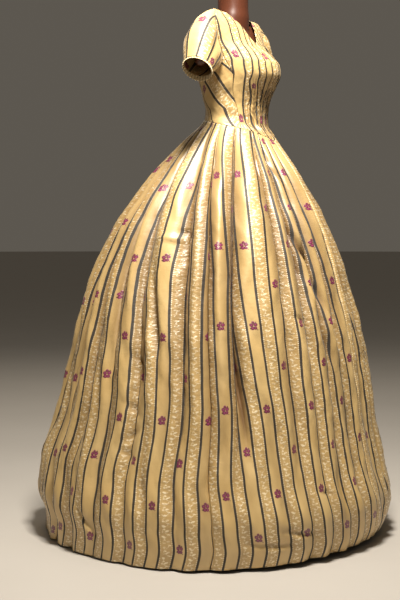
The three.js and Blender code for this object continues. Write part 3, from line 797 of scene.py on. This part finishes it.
def silk():
    """Ivory silk: plain bands with sprigs, brocaded bands with a small leafy vine, dark lines between."""
    t = Tree("striped_silk")
    bands, along = t.cloth()
    place = t.place()
    index = bands.floor()
    across = (bands.fraction() - 0.5) * (BAND / MM)
    up = along * (1 / MM)
    wobble = t.noise(place, 420.0, 1.0) - 0.5
    # the woven lines, thinner where a width's seam takes most of one
    to_line = across.size() * -1 + (BAND / MM / 2)
    at_seam = bands.from_nearest(WIDTH_BANDS, 0.5).size().within(0.4, 0.1)
    line = (to_line * t.attribute("shown") + wobble * 0.7).within(LINE_HALF, 0.7)
    line = line * (to_line.within(SEAM_LINE_HALF, 0.5) * at_seam + (at_seam * -1 + 1))
    brocaded = (index.modulo(2.0) - 0.5).below(0.0)
    plain = brocaded * -1 + 1
    # sprigs on the plain bands, lower by half a repeat on every other one
    drop = index.modulo(4.0).above(2.0) * 0.5
    sprig_across = across + wobble * 1.6
    sprig_up = up.from_nearest(REPEAT / MM, drop) + wobble * 1.6
    to_petal = spots(sprig_across, sprig_up, PETALS)
    petal = to_petal.within(0.0, 0.8) * plain
    heart = to_petal.within(-2.0, 1.0) * plain
    leaf = spots(sprig_across, sprig_up, LEAVES).within(0.0, 0.7) * plain
    rim = spots(sprig_across, sprig_up, PETALS, SPRIG_RIM).within(0.0, 0.7) * plain
    figure = brocade_vine(across, up) * brocaded * t.noise(place, 130.0, 2.0).within(0.66, 0.22)
    # colours, each painted over the ones before it
    ground = t.blend(t.noise(place, 9.0, 3.0), IVORY, IVORY_LIGHT)
    colour = t.blend(brocaded, ground, t.blend(figure, BROCADE_GROUND, BROCADE_FIGURE))
    slubs = t.noise(t.vector(bands * 14.0, along * 900.0), 1.0, 2.0)
    colour = t.blend((slubs - 0.42) * 0.5, colour, BROCADE_GROUND)
    # painted shade: the colour darkened toward dark brown by how deep in a fold or crease the cloth lies
    painted_fold_shade = t.attribute("fold_painted_shade").math("MULTIPLY", 0.85, clamp=True)
    colour = t.blend(painted_fold_shade, colour, t.blend(1.0, colour, FOLD_PAINTED_SHADE, "MULTIPLY"))
    for share, paint in (
        (rim * 0.45, SPRIG_PINK), (leaf * 0.85, SPRIG_DARK), (petal * 0.92, SPRIG_PURPLE),
        (heart * 0.75, SPRIG_PINK), (line * 0.98, LINE_BROWN),
    ):
        colour = t.blend(share, colour, paint)
    # fine relief: small crumples, puckers of the brocade, ribs across the silk and the raised design
    crumple = t.noise(t.vector(bands * 1.3, along * 26.0), 1.0, 4.0, 0.6)
    puckers = t.noise(t.vector(bands * 0.9, along * 75.0), 1.0, 2.0, 0.6) * (brocaded * 0.8 + 0.2)
    ribs = (up * (2 * math.pi / RIB_PITCH)).sine() * 0.5 + 0.5
    normal = t.bump(crumple, 0.30, 3.0 * MM)
    normal = t.bump(puckers, 0.55, 3.0 * MM, Normal=normal)
    normal = t.bump(ribs, 0.10, 0.15 * MM, Normal=normal)
    normal = t.bump(figure.greater(petal), 0.55, 0.5 * MM, Normal=normal)
    return t.finish(
        Base_Color=colour, Roughness=figure * -0.10 + slubs * 0.14 + 0.34 + line * 0.3, Normal=normal,
        Sheen_Weight=0.05, Sheen_Roughness=0.3,
        Specular_IOR_Level=0.95, Specular_Tint=(1.0, 0.98, 0.94, 1),
    )


def edging():
    """Narrow gathered band of plain cream silk, with painted shade in its gathers."""
    t = Tree("cream_edging")
    place = t.place()
    threads = t.noise(place, 900.0, 2.0)
    cream = t.blend(t.noise(place, 40.0, 3.0), *EDGING_CREAM)
    # painted shade in the gathers' hollows
    colour = t.blend(t.attribute("fold_painted_shade"), cream, EDGING_PAINTED_SHADE)
    normal = t.bump(threads, 0.4, 0.3 * MM)
    return t.finish(Base_Color=colour, Roughness=threads * 0.2 + 0.5, Normal=normal, Sheen_Weight=0.2)


def form_finish():
    """The dress form's smooth, dark red-brown covering."""
    t = Tree("brown_form")
    place = t.place()
    cloudy = t.noise(place, 7.0, 4.0)
    fine = t.noise(place, 220.0, 3.0)
    return t.finish(
        Base_Color=t.blend(cloudy, *FORM_BROWN), Roughness=fine * 0.16 + cloudy * 0.10 + 0.27,
        Normal=t.bump(fine, 0.08, 0.4 * MM), Coat_Weight=0.25,
    )


def stand_finish():
    """Dark painted metal of the pole and base, with light wear."""
    t = Tree("painted_metal")
    wear = t.noise(t.place(), 60.0, 5.0, 0.65)
    return t.finish(
        Base_Color=t.blend(wear.within(0.36, 0.08), METAL_BLACK, METAL_WORN), Roughness=wear * 0.35 + 0.28,
        Normal=t.bump(wear, 0.12, 0.3 * MM), Metallic=0.3,
    )


silk_material = silk()
edging_material = edging()


# ---- skirt ----
def folded(rows, down):
    """Where each pleat's folded-in cloth starts and ends, in bands."""
    early = np.minimum(down / MID, 1)
    closed = np.clip((rows["opens"] - down) / (rows["opens"] - MID), 0, 1)
    start = mix(rows["from"], rows["mid_from"], early)
    end = mix(rows["to"], rows["mid_to"], early)
    return mix(rows["heart"], start, closed), mix(rows["heart"], end, closed)


def shown_to(side, bands, down):
    """Bands that show between centre front and some bands."""
    shown = bands.astype(float)
    for start, end in zip(*folded(pleats[side], down)):
        shown = shown - (1 - SQUEEZE) * np.maximum(0, np.minimum(bands, end) - start)
    return shown


def angles_at(down, share):
    """Angles at shares of the way round half the outline."""
    steps = np.linspace(0, math.pi, 181)
    side_top = waist_seam["z"][list(waist_seam["degrees"]).index(90)]
    ring = on_outline(sections, steps, mix(side_top, hem["z"][0], down))
    length = np.concatenate([[0], np.cumsum(np.linalg.norm(np.diff(ring, axis=0), axis=1))])
    return np.interp(share, length / length[-1], steps)


def pleat_relief(side, bands, down):
    """How far the cloth lies in from the outline, in metres, and how much painted shade darkens it, for one
    row.
    """
    rows = pleats[side]
    starts, ends = folded(rows, down)
    depth = np.zeros(len(bands))
    shade = np.zeros(len(bands))
    strength = float(curve(life, "down", "depth", down))
    for start, end, deep in zip(starts, ends, rows["deep"]):
        outside = np.maximum(np.maximum(start - bands, bands - end), 0)
        half = max((end - start) / 2, 1e-6)
        inside = np.clip(np.minimum(bands - start, end - bands) / half, 0, 1)
        hidden = min(1.0, (end - start) / FULL_FOLD)
        slope = np.exp(-((outside / FOLD_REACH) ** 2))
        slit = wave(inside / 4) * hidden
        depth = np.maximum(depth, deep * strength * (LEAN_DEPTH * slope + SLIT_DEPTH * slit))
        # painted shade: full in the slit, less on the cloth leaning in beside it
        shade = np.maximum(shade, strength * np.maximum(LEAN_SHADE * slope * (0.4 + 0.6 * hidden), slit))
    bulge = np.zeros(len(bands))
    rise = float(curve(life, "down", "bulge", down)) * BULGE
    for left, right in zip([0, *ends], [*starts, SKIRT_HALF]):
        wide = max(right - left, 1e-6)
        arch = wave(np.clip((bands - left) / wide, 0, 1) / 2).clip(0) ** 0.8
        bulge = np.maximum(bulge, rise * min(1.0, wide / BULGE_BANDS) * arch)
    return depth - bulge, shade


def crease_relief(side, bands, down):
    """The hand-placed creases' depth over the whole half."""
    depth = np.zeros(bands.shape)
    for band, at, run, wide, tilt, deep in zip(*creases[side].values()):
        lean = math.radians(tilt)
        across = (bands - band) * BAND
        along = (down - at) * SKIRT_LENGTH
        off = across * math.cos(lean) + along * math.sin(lean)
        way = along * math.cos(lean) - across * math.sin(lean)
        depth += CREASE_GAIN * deep * np.exp(-((off / wide) ** 2) - (way / run) ** 2)
    return depth


def skirt_grid(signed):
    """Points, cloth places and painted shade of the skirt at signed bands, waist seam down to the hem."""
    lines = np.linspace(0, 1, SKIRT_ROWS + 1) ** ROW_CROWDING
    points = np.zeros((len(lines), len(signed), 3))
    inward = np.zeros(points.shape[:2])
    shade = np.zeros_like(inward)
    all_down = np.broadcast_to(lines[:, None], inward.shape)
    for side in (-1, 1):
        mine = signed <= 0 if side < 0 else signed > 0
        bands = np.abs(signed[mine])
        for row, down in enumerate(lines):
            shown = shown_to(side, bands, down)
            drift = float(curve(sway, "down", "bands", down)) * np.maximum(0, 1 - shown / WIDTH_BANDS)
            share = (side * shown - drift) / shown_to(side, np.array([SKIRT_HALF]), down)[0]
            angle = np.sign(share) * angles_at(down, np.abs(share))
            degrees = np.degrees(np.abs(angle))
            top = curve(waist_seam, "degrees", "z", degrees) - WAIST_GAP / 2
            z = mix(top, curve(hem, "degrees", "z", degrees), down)
            points[row, mine] = on_outline(sections, angle, z)
            inward[row, mine], shade[row, mine] = pleat_relief(side, bands, down)
        made = crease_relief(side, np.broadcast_to(bands, (len(lines), len(bands))), all_down[:, mine])
        inward[:, mine] += made * smooth(0, 0.08, all_down[:, mine])
        # painted shade in the creases that lie in; ridges get none
        shade[:, mine] += np.clip(made / CREASE_DARK, 0, CREASE_SHADE)
    fine = ripples(signed * BAND, all_down * SKIRT_LENGTH, 11, SKIRT_RIPPLES)
    inward += fine * smooth(0, 0.12, all_down)
    steps = np.linalg.norm(np.diff(points, axis=0), axis=2)
    above_hem = np.concatenate([np.cumsum(steps[::-1], axis=0)[::-1], np.zeros((1, len(signed)))])
    cloth = np.stack([np.broadcast_to(signed, inward.shape), above_hem], -1)
    points[..., :2] *= 1 - inward[..., None] / np.linalg.norm(points[..., :2], axis=-1, keepdims=True)
    return points, cloth, np.clip(shade, 0, 1)


SKIRT_SEAMS = [n * WIDTH_BANDS for n in range(-2, 3)]
SKIRT_WIDTHS = ("back_right", "side_right", "front_right", "front_left", "side_left", "back_left")


def make_skirt():
    """Cuts the whole skirt's grid into its widths, each turned in a little at its seams."""
    signed = np.linspace(-SKIRT_HALF, SKIRT_HALF, 2 * SKIRT_HALF * COLUMNS_PER_BAND + 1)
    points, cloth, shade = skirt_grid(signed)
    # both ends of the round are the same seam at centre back
    points[:, 0] = points[:, -1] = (points[:, 0] + points[:, -1]) / 2
    around = unit(np.gradient(points, axis=1))
    normals = grid_normals(points)
    for width, start, end in zip(SKIRT_WIDTHS, [-SKIRT_HALF, *SKIRT_SEAMS], [*SKIRT_SEAMS, SKIRT_HALF]):
        name = f"skirt_{width}"
        first = (start + SKIRT_HALF) * COLUMNS_PER_BAND
        last = (end + SKIRT_HALF) * COLUMNS_PER_BAND
        mine = points[:, first:last + 1].copy()
        mine[:, 0] += around[:, first] * SEAM_GAP / 2 - normals[:, first] * WIDTH_TUCK
        mine[:, -1] -= around[:, last] * SEAM_GAP / 2 + normals[:, last] * WIDTH_TUCK
        flat = cloth[:, first:last + 1].copy()
        flat[..., 1] -= (SPRIG_START[name] - 0.5) * REPEAT
        piece = shell(f"{name}_silk", mine, flat, shade[:, first:last + 1], silk_material)
        settle(piece, "silk", name)


# ---- bodice ----
def edge_place(edge, up):
    return curve(edge, "up", "degrees", up), curve(edge, "up", "z", up)


def bodice_grid(edge_a, edge_b, top=1.0, sag=0.0):
    """Angles in degrees and heights of a bodice piece between two edges, rows from the top down."""
    up = np.linspace(top, 0, BODICE_ROWS + 1)[:, None]
    across = np.linspace(0, 1, BODICE_COLUMNS + 1)[None, :]
    (deg_a, z_a), (deg_b, z_b) = edge_place(edge_a, up), edge_place(edge_b, up)
    degrees = mix(deg_a + BODICE_TURN_IN, deg_b - BODICE_TURN_IN, across)
    seam = curve(waist_seam, "degrees", "z", degrees) + WAIST_GAP / 2
    floor = seam - mix(edge_a["z"][0], edge_b["z"][0], across)
    dip = sag * np.sin(math.pi * across) * (up / top) ** 3 if top < 1 else 0
    z = mix(z_a, z_b, across) + floor * np.maximum(0, 1 - up / WAIST_FIT) - dip
    return degrees, z


def arc_from_front(degrees, z):
    """Metres round the outline from centre front, for grids of angles and heights."""
    steps = np.linspace(0, 1, 41)
    places = on_outline(sections, np.radians(degrees[..., None] * steps), z[..., None])
    return np.linalg.norm(np.diff(places, axis=-2), axis=-1).sum(-1)


def fan_bands(arc, z):
    """Bands from centre front on the gathered front, by the table of its woven lines."""
    places = [np.zeros(z.shape)] + [curve(fan, "z", f"line{n}", z) for n in range(1, 7)]
    bands = np.zeros(z.shape)
    for inner, outer in zip(places, places[1:]):
        bands += np.clip((arc - inner) / np.maximum(outer - inner, 1e-5), 0, 1)
    return bands + np.maximum(0, arc - places[-1]) / BAND


def standing(folds, arc, z):
    """How high some small folds stand at places on the bodice."""
    return folds.height * fade(folds.out, arc) * smooth(*folds.foot, z) * fade(folds.top, z)


def bodice_front(arc, z, mirror):
    """Bands, relief and painted shade of the fan front, where it is gathered."""
    bands = fan_bands(arc, z)
    gathered = standing(GATHERS, arc, z)
    uneven = 0.35 * np.sin(z * 61 + bands * 3.1 + mirror) + 0.2 * np.sin(z * 140 - bands * 2.2)
    gathers = wave(bands * GATHERS_PER_BAND + uneven)
    soft = wave(bands * GATHERS_PER_BAND / 2 + 0.4 * uneven)
    puckers = wave(z / PUCKER_PITCH + 0.5 * np.sin(bands * 4.3 + mirror))
    relief = gathered * gathers + standing(SOFT_FOLDS, arc, z) * soft + standing(PUCKERS, arc, z) * puckers
    return bands, relief, np.clip(gathered / GATHERS.height * (0.30 + 0.45 * gathers), 0, 1)


def bodice_side(arc, z, mirror):
    """Bands, relief and painted shade of the underarm piece, whose stripes run on the bias."""
    bands = (z * math.cos(BIAS) - arc * math.sin(BIAS) - BIAS_START) / (BIAS_CROWDING * BAND)
    bands += BIAS_BEND * np.maximum(0, BIAS_BEND_TOP - z) + 1
    folds = wave(z / SIDE_FOLD_PITCH["up"] - arc / SIDE_FOLD_PITCH["round"] + 0.2 * mirror)
    # painted shade: the whole underarm piece darkened evenly a little
    return bands, standing(SIDE_FOLDS, arc, z) * folds, np.full(z.shape, 0.10)


def bodice_back(arc, z, mirror):
    """Bands, relief and painted shade of the back, whose stripes fan out from the waist to the shoulders."""
    half = arc_from_front(np.full(z.shape, 180.0), z)
    bands = (half - arc) / (BAND * mix(BACK_CROWDING, 1.0, smooth(*BACK_FAN, z)))
    folds = wave(arc / BACK_FOLD_PITCH + 0.5 * np.sin(z * 16))
    # painted shade: the whole back darkened evenly a very little
    return bands, standing(BACK_FOLDS, arc, z) * folds, np.full(z.shape, 0.05)


# Each bodice piece's edges, how far up it goes, its dip under the arm and its pattern. Then its cut: metres
# across and along, square metres, and how it is held.
BODICE = {
    "bodice_front": (front_edge, side_front_edge, 1.0, 0.0, bodice_front, (0.24, 0.36), 0.055, "gathered"),
    "bodice_side": (
        side_front_edge, side_back_edge, ARMHOLE_UP, ARMHOLE_SAG, bodice_side,
        (0.19, 0.20), 0.0215, "draped",
    ),
    "bodice_back": (side_back_edge, back_edge, 1.0, 0.0, bodice_back, (0.19, 0.29), 0.036, "draped"),
}


def make_bodice_piece(kind, side, mirror):
    edge_a, edge_b, top, sag, pattern, cut, area, held = BODICE[kind]
    degrees, z = bodice_grid(edge_a, edge_b, top, sag)
    arc = arc_from_front(degrees, z)
    bands, relief, shade = pattern(arc, z, mirror)
    # folds start a little way in from the edges, which turn in
    columns = np.arange(BODICE_COLUMNS + 1)
    ends = np.minimum(columns, columns[::-1])
    inner = smooth(0, RELIEF_RISE, z - curve(waist_seam, "degrees", "z", degrees))
    inner = inner * smooth(*RELIEF_STEPS, ends) * smooth(*RELIEF_STEPS, np.arange(BODICE_ROWS + 1))[:, None]
    tuck = EDGE_TUCK * np.exp(-((ends / EDGE_TUCK_STEPS) ** 2))
    height = (relief + ripples(arc, z, 5, BODICE_RIPPLES)) * inner - tuck
    angle = mirror * np.radians(degrees)
    points = on_outline(sections, angle, z) + gown_normal(angle, z) * height[..., None]
    along = z - waist_seam["z"][0] + BUST_EASE * smooth(*BUST_EASE_HEIGHTS, z)
    if kind == "bodice_side":
        along = arc * math.cos(BIAS) + z * math.sin(BIAS)
    signed = -(bands + 1) if mirror < 0 else bands
    cloth = np.stack([signed, along - SPRIG_START[kind] * REPEAT], -1)
    if mirror < 0:
        points, cloth, shade = points[:, ::-1], cloth[:, ::-1], shade[:, ::-1]
    name = f"{kind}_{side}"
    piece = shell(f"{name}_silk", points, cloth, shade, silk_material)
    settle(piece, "silk", name)


# ---- sleeves ----
def edge_point(edge, up):
    degrees, z = edge_place(edge, up)
    return on_outline(sections, np.radians(degrees), z)


def armhole_point(turn):
    """The armhole's edge at a turn: up the front, over the shoulder, down the back, below the arm."""
    shoulder, back, front = (ARMHOLE_SHARES[name] for name in ("shoulder", "back", "front"))
    if turn < shoulder:
        return edge_point(side_front_edge, mix(ARMHOLE_NOTCH, 1, turn / shoulder))
    if turn < back:
        return edge_point(side_back_edge, mix(1, ARMHOLE_UP, (turn - shoulder) / (back - shoulder)))
    if turn < front:
        across = 1 - (turn - back) / (front - back)
        deg_a, z_a = edge_place(side_front_edge, ARMHOLE_UP)
        deg_b, z_b = edge_place(side_back_edge, ARMHOLE_UP)
        z = mix(z_a, z_b, across) - ARMHOLE_SAG * math.sin(math.pi * across)
        return on_outline(sections, math.radians(mix(deg_a, deg_b, across)), z)
    return edge_point(side_front_edge, mix(ARMHOLE_UP, ARMHOLE_NOTCH, (turn - front) / (1 - front)))


def spoke(turn):
    """Unit directions square to the arm at turns round it."""
    angle = 2 * math.pi * np.asarray(turn)[..., None]
    return ACROSS_FRONT * np.cos(angle) + ACROSS_OUT * np.sin(angle)


def mirrored(points, cloth, shade, mirror):
    """The left sleeve's grid turned into the right one's, still facing out."""
    if mirror > 0:
        return points, cloth, shade
    return points[:, ::-1] * [-1, 1, 1], cloth[:, ::-1], shade[:, ::-1]


def make_sleeve(side, mirror):
    turns = np.arange(SLEEVE_COLUMNS) / SLEEVE_COLUMNS
    start = np.array([armhole_point(turn) for turn in turns]) + [ARMHOLE_GAP, 0, 0]
    end = SLEEVE_END[side] + spoke(turns) * SLEEVE_RADIUS
    along = np.linspace(0, 1, SLEEVE_ROWS + 1)[:, None]
    crease = np.zeros((SLEEVE_ROWS + 1, SLEEVE_COLUMNS))
    for turn, at, round_it, far, deep in zip(*sleeve_creases.values()):
        off = (turns - turn + 0.5) % 1 - 0.5
        crease += deep * np.exp(-((off / round_it) ** 2) - ((along - at) / far) ** 2)
    crease *= smooth(0, 0.10, along) * fade((0.93, 1), along)
    bulge = curve(puff, "along", "puff", along) * mix(FLAT_PUFF, 1, np.maximum(0, wave(turns - PUFF_LEAN)))
    tucks = TUCK_HEIGHT * wave(turns * SLEEVE_TUCKS) * np.maximum(0, wave(turns))
    tucks = tucks * smooth(0, 0.02, along) * fade((0, 0.16), along)
    points = mix(start[None], end[None], along[..., None])
    points = points + spoke(turns)[None] * (bulge - crease + tucks)[..., None]
    length = np.linalg.norm(end - start, axis=1)
    bands = (turns - FIRST_SLEEVE_LINE) * SLEEVE_BANDS + FIRST_SLEEVE_BAND
    up = (1 - along) * length - SPRIG_START["sleeve"] * REPEAT
    cloth = np.stack([np.broadcast_to(bands, crease.shape), up], -1)
    # painted shade: in the creases that lie in, and a band of it along the armhole seam
    shade = np.clip(crease / SLEEVE_DARK, 0, 0.6) + 0.35 * fade((0, 0.05), along)
    grid = mirrored(points, cloth, shade, mirror)
    piece = shell(f"sleeve_{side}_silk", *grid, silk_material, closed=True)
    settle(piece, "silk", f"sleeve_{side}")


def make_trim(side, mirror):
    """The narrow gathered edging under a sleeve."""
    turns = np.arange(SLEEVE_COLUMNS) / SLEEVE_COLUMNS
    under = 0.5 - 0.5 * wave(turns)
    down = np.linspace(0, 1, TRIM_ROWS + 1)[:, None]
    gathers = wave(turns * TRIM_GATHERS + 1.5 / (2 * math.pi) * wave(turns * 3))
    radius = SLEEVE_RADIUS * (1 + TRIM_FLARE * under * down) - TRIM_INSET * (1 - down)
    radius = radius + TRIM_GATHER_HEIGHT * gathers * smooth(0, 0.5, down)
    reach = mix(TRIM_REACH["above"], TRIM_REACH["below"], under)
    beyond = mix(SEAM_GAP, reach, down) + TRIM_INSET * gathers * down
    points = SLEEVE_END[side] + spoke(turns)[None] * radius[..., None] + ARM * beyond[..., None]
    cloth = np.stack([np.broadcast_to(turns * SLEEVE_BANDS, radius.shape), beyond], -1)
    # painted shade: darkest in the hollows between the gathers
    shade = np.broadcast_to(np.clip(0.35 - 0.35 * gathers, 0, 1), radius.shape)
    grid = mirrored(points, cloth, shade, mirror)
    piece = shell(f"sleeve_trim_{side}_band", *grid, edging_material, TRIM_WALL, closed=True)
    settle(piece, "edging", f"sleeve_trim_{side}")


# ---- dress form ----
def stack(rings):
    """Vertices and faces of a closed solid through rings of points, capped by fans."""
    vertices = np.concatenate([rings.reshape(-1, 3), [rings[0].mean(0)], [rings[-1].mean(0)]]).tolist()
    ids = np.arange(rings.shape[0] * rings.shape[1]).reshape(-1, rings.shape[1])
    faces = []
    for low, high in zip(ids, ids[1:]):
        faces += [[a, b, c, d] for a, b, c, d in zip(low, np.roll(low, -1), np.roll(high, -1), high)]
    foot = len(vertices) - 2
    faces += [[foot, b, a] for a, b in zip(ids[0], np.roll(ids[0], -1))]
    faces += [[foot + 1, a, b] for a, b in zip(ids[-1], np.roll(ids[-1], -1))]
    return vertices, faces


def torso_rings(turns):
    """Hip rings, then the gown's own form moved in and drawn in where the arm leaves the shoulder."""
    lower = [on_outline(hips, turns, z) for z in np.linspace(*hips["z"][[0, -1]], 16)]
    upper = []
    for z in np.linspace(*FORM_HEIGHTS, 34):
        ring = on_outline(sections, turns, z) - gown_normal(turns, z) * FORM_CLEARANCE
        beyond = np.maximum(0, np.abs(ring[:, 0]) - SHOULDER[0])
        ring[:, 0] -= np.sign(ring[:, 0]) * SHOULDER_TUCK * beyond
        upper.append(ring)
    return np.array(lower + upper)


def stub_rings(turns, side, mirror):
    """A round-ended arm stub from the shoulder toward the sleeve's end."""
    arm = SLEEVE_END[side] - SHOULDER
    way = unit(arm)
    out = unit(np.cross(way, ACROSS_FRONT))
    reach = np.linalg.norm(arm) - STUB_RECESS - STUB_RADIUS
    places = [(STUB_RADIUS, reach * share) for share in np.linspace(0, 1, 8)]
    for a in np.linspace(0.15, 1.5, 9):
        places.append((STUB_RADIUS * math.cos(a), reach + STUB_RADIUS * math.sin(a)))
    circle = np.cos(turns)[:, None] * ACROSS_FRONT + np.sin(turns)[:, None] * out
    rings = np.array([SHOULDER + circle * radius + way * height for radius, height in places])
    return rings if mirror > 0 else rings[:, ::-1] * [-1, 1, 1]


def make_form():
    turns = np.linspace(0, 2 * math.pi, FORM_POINTS, endpoint=False)
    neck_rings = np.array([on_outline(neck, turns, z) for z in np.linspace(*neck["z"][[0, -1]], 40)])
    vertices, faces = [], []
    stubs = (stub_rings(turns, "left", 1), stub_rings(turns, "right", -1))
    for rings in (torso_rings(turns), neck_rings, *stubs):
        more, corners = stack(rings)
        faces += [[corner + len(vertices) for corner in face] for face in corners]
        vertices += more
    mesh = bpy.data.meshes.new("dress_form_parts")
    mesh.from_pydata(vertices, [], faces)
    form = add_object("dress_form", mesh)
    remesh = form.modifiers.new("join", "REMESH")
    remesh.mode = "VOXEL"
    remesh.voxel_size = FORM_VOXEL
    remesh.use_smooth_shade = True
    relax = form.modifiers.new("relax", "SMOOTH")
    relax.factor = 0.5
    relax.iterations = 12
    bpy.context.view_layer.update()
    made = bpy.data.meshes.new_from_object(form.evaluated_get(bpy.context.evaluated_depsgraph_get()))
    form.modifiers.clear()
    form.data = made
    bpy.data.meshes.remove(mesh)
    made.materials.clear()
    made.materials.append(form_finish())
    made.polygons.foreach_set("use_smooth", [True] * len(made.polygons))
    settle(form, "form", "form_torso")


def paint_stand():
    metal = stand_finish()
    for name in ("stand_pole", "stand_base"):
        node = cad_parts[name]
        for slot in node.material_slots:
            slot.material = metal
        if not node.material_slots:
            node.data.materials.append(metal)


# ---- stage ----
CAMERA_AZIMUTH = math.radians(-65)
CAMERA_DISTANCE = 3.4
CAMERA_HEIGHT = 0.82
CAMERA_PITCH = math.radians(-3.3)
FOCAL_PIXELS = 1258
PICTURE_HEIGHT = 600  # pixels, the long side
AXIS_COLUMN = 35  # pixels right of the middle at which the gown's axis stands
SENSOR = 36.0


def make_camera():
    data = bpy.data.cameras.new("camera")
    data.sensor_width = SENSOR
    data.lens = SENSOR * FOCAL_PIXELS / PICTURE_HEIGHT
    camera = add_object("camera", data)
    camera.location = (
        CAMERA_DISTANCE * math.sin(CAMERA_AZIMUTH),
        -CAMERA_DISTANCE * math.cos(CAMERA_AZIMUTH),
        CAMERA_HEIGHT,
    )
    turn = math.atan(AXIS_COLUMN / FOCAL_PIXELS)
    camera.rotation_euler = (math.pi / 2 + CAMERA_PITCH, 0, CAMERA_AZIMUTH + turn)
    bpy.context.scene.camera = camera


# Lights: degrees round from the front and up, metres to the point aimed at, its height, size, watts, colour.
LIGHTS = {
    "key": (-60, 63, 1.8, 0.84, 0.4, 100, (1.0, 0.94, 0.85)),
    "fill": (-80, 20, 4.0, 0.75, 2.4, 6, (1.0, 0.80, 0.54)),
    "back": (130, 40, 3.8, 0.75, 2.2, 30, (1.0, 0.90, 0.76)),
}
WORLD = {"Color": (0.90, 0.80, 0.66, 1), "Strength": 0.12}
FLOOR_PAINT = ((0.44, 0.41, 0.37, 1), (0.48, 0.45, 0.41, 1))
FLOOR_RADIUS = 40


def make_lights():
    for name, (azimuth, elevation, away, height, size, power, colour) in LIGHTS.items():
        data = bpy.data.lights.new(name, "AREA")
        data.size = size
        data.energy = power
        data.color = colour
        light = add_object(name, data)
        a, e = math.radians(azimuth), math.radians(elevation)
        way = Vector((math.sin(a) * math.cos(e), -math.cos(a) * math.cos(e), math.sin(e)))
        light.location = Vector((0, 0, height)) + way * away
        light.rotation_euler = way.to_track_quat("Z", "Y").to_euler()
    world = bpy.data.worlds.new("world")
    world.use_nodes = True
    for name, value in WORLD.items():
        world.node_tree.nodes["Background"].inputs[name].default_value = value
    bpy.context.scene.world = world
    bpy.context.scene.view_settings.view_transform = "Standard"


def make_floor():
    tree = Tree("floor_paint")
    colour = tree.blend(tree.noise(tree.place(), 3.0, 4.0), *FLOOR_PAINT)
    turns = np.linspace(0, 2 * math.pi, 96, endpoint=False)
    rim = [(FLOOR_RADIUS * math.cos(a), FLOOR_RADIUS * math.sin(a), 0) for a in turns]
    mesh = bpy.data.meshes.new("floor")
    mesh.from_pydata(rim, [], [list(range(len(rim)))])
    mesh.materials.append(tree.finish(Base_Color=colour, Roughness=0.75))
    add_object("floor", mesh)


make_camera()
make_skirt()
for side, mirror in SIDES:
    for kind in BODICE:
        make_bodice_piece(kind, side, mirror)
for side, mirror in SIDES:
    make_sleeve(side, mirror)
    make_trim(side, mirror)
make_form()
paint_stand()
make_lights()
make_floor()
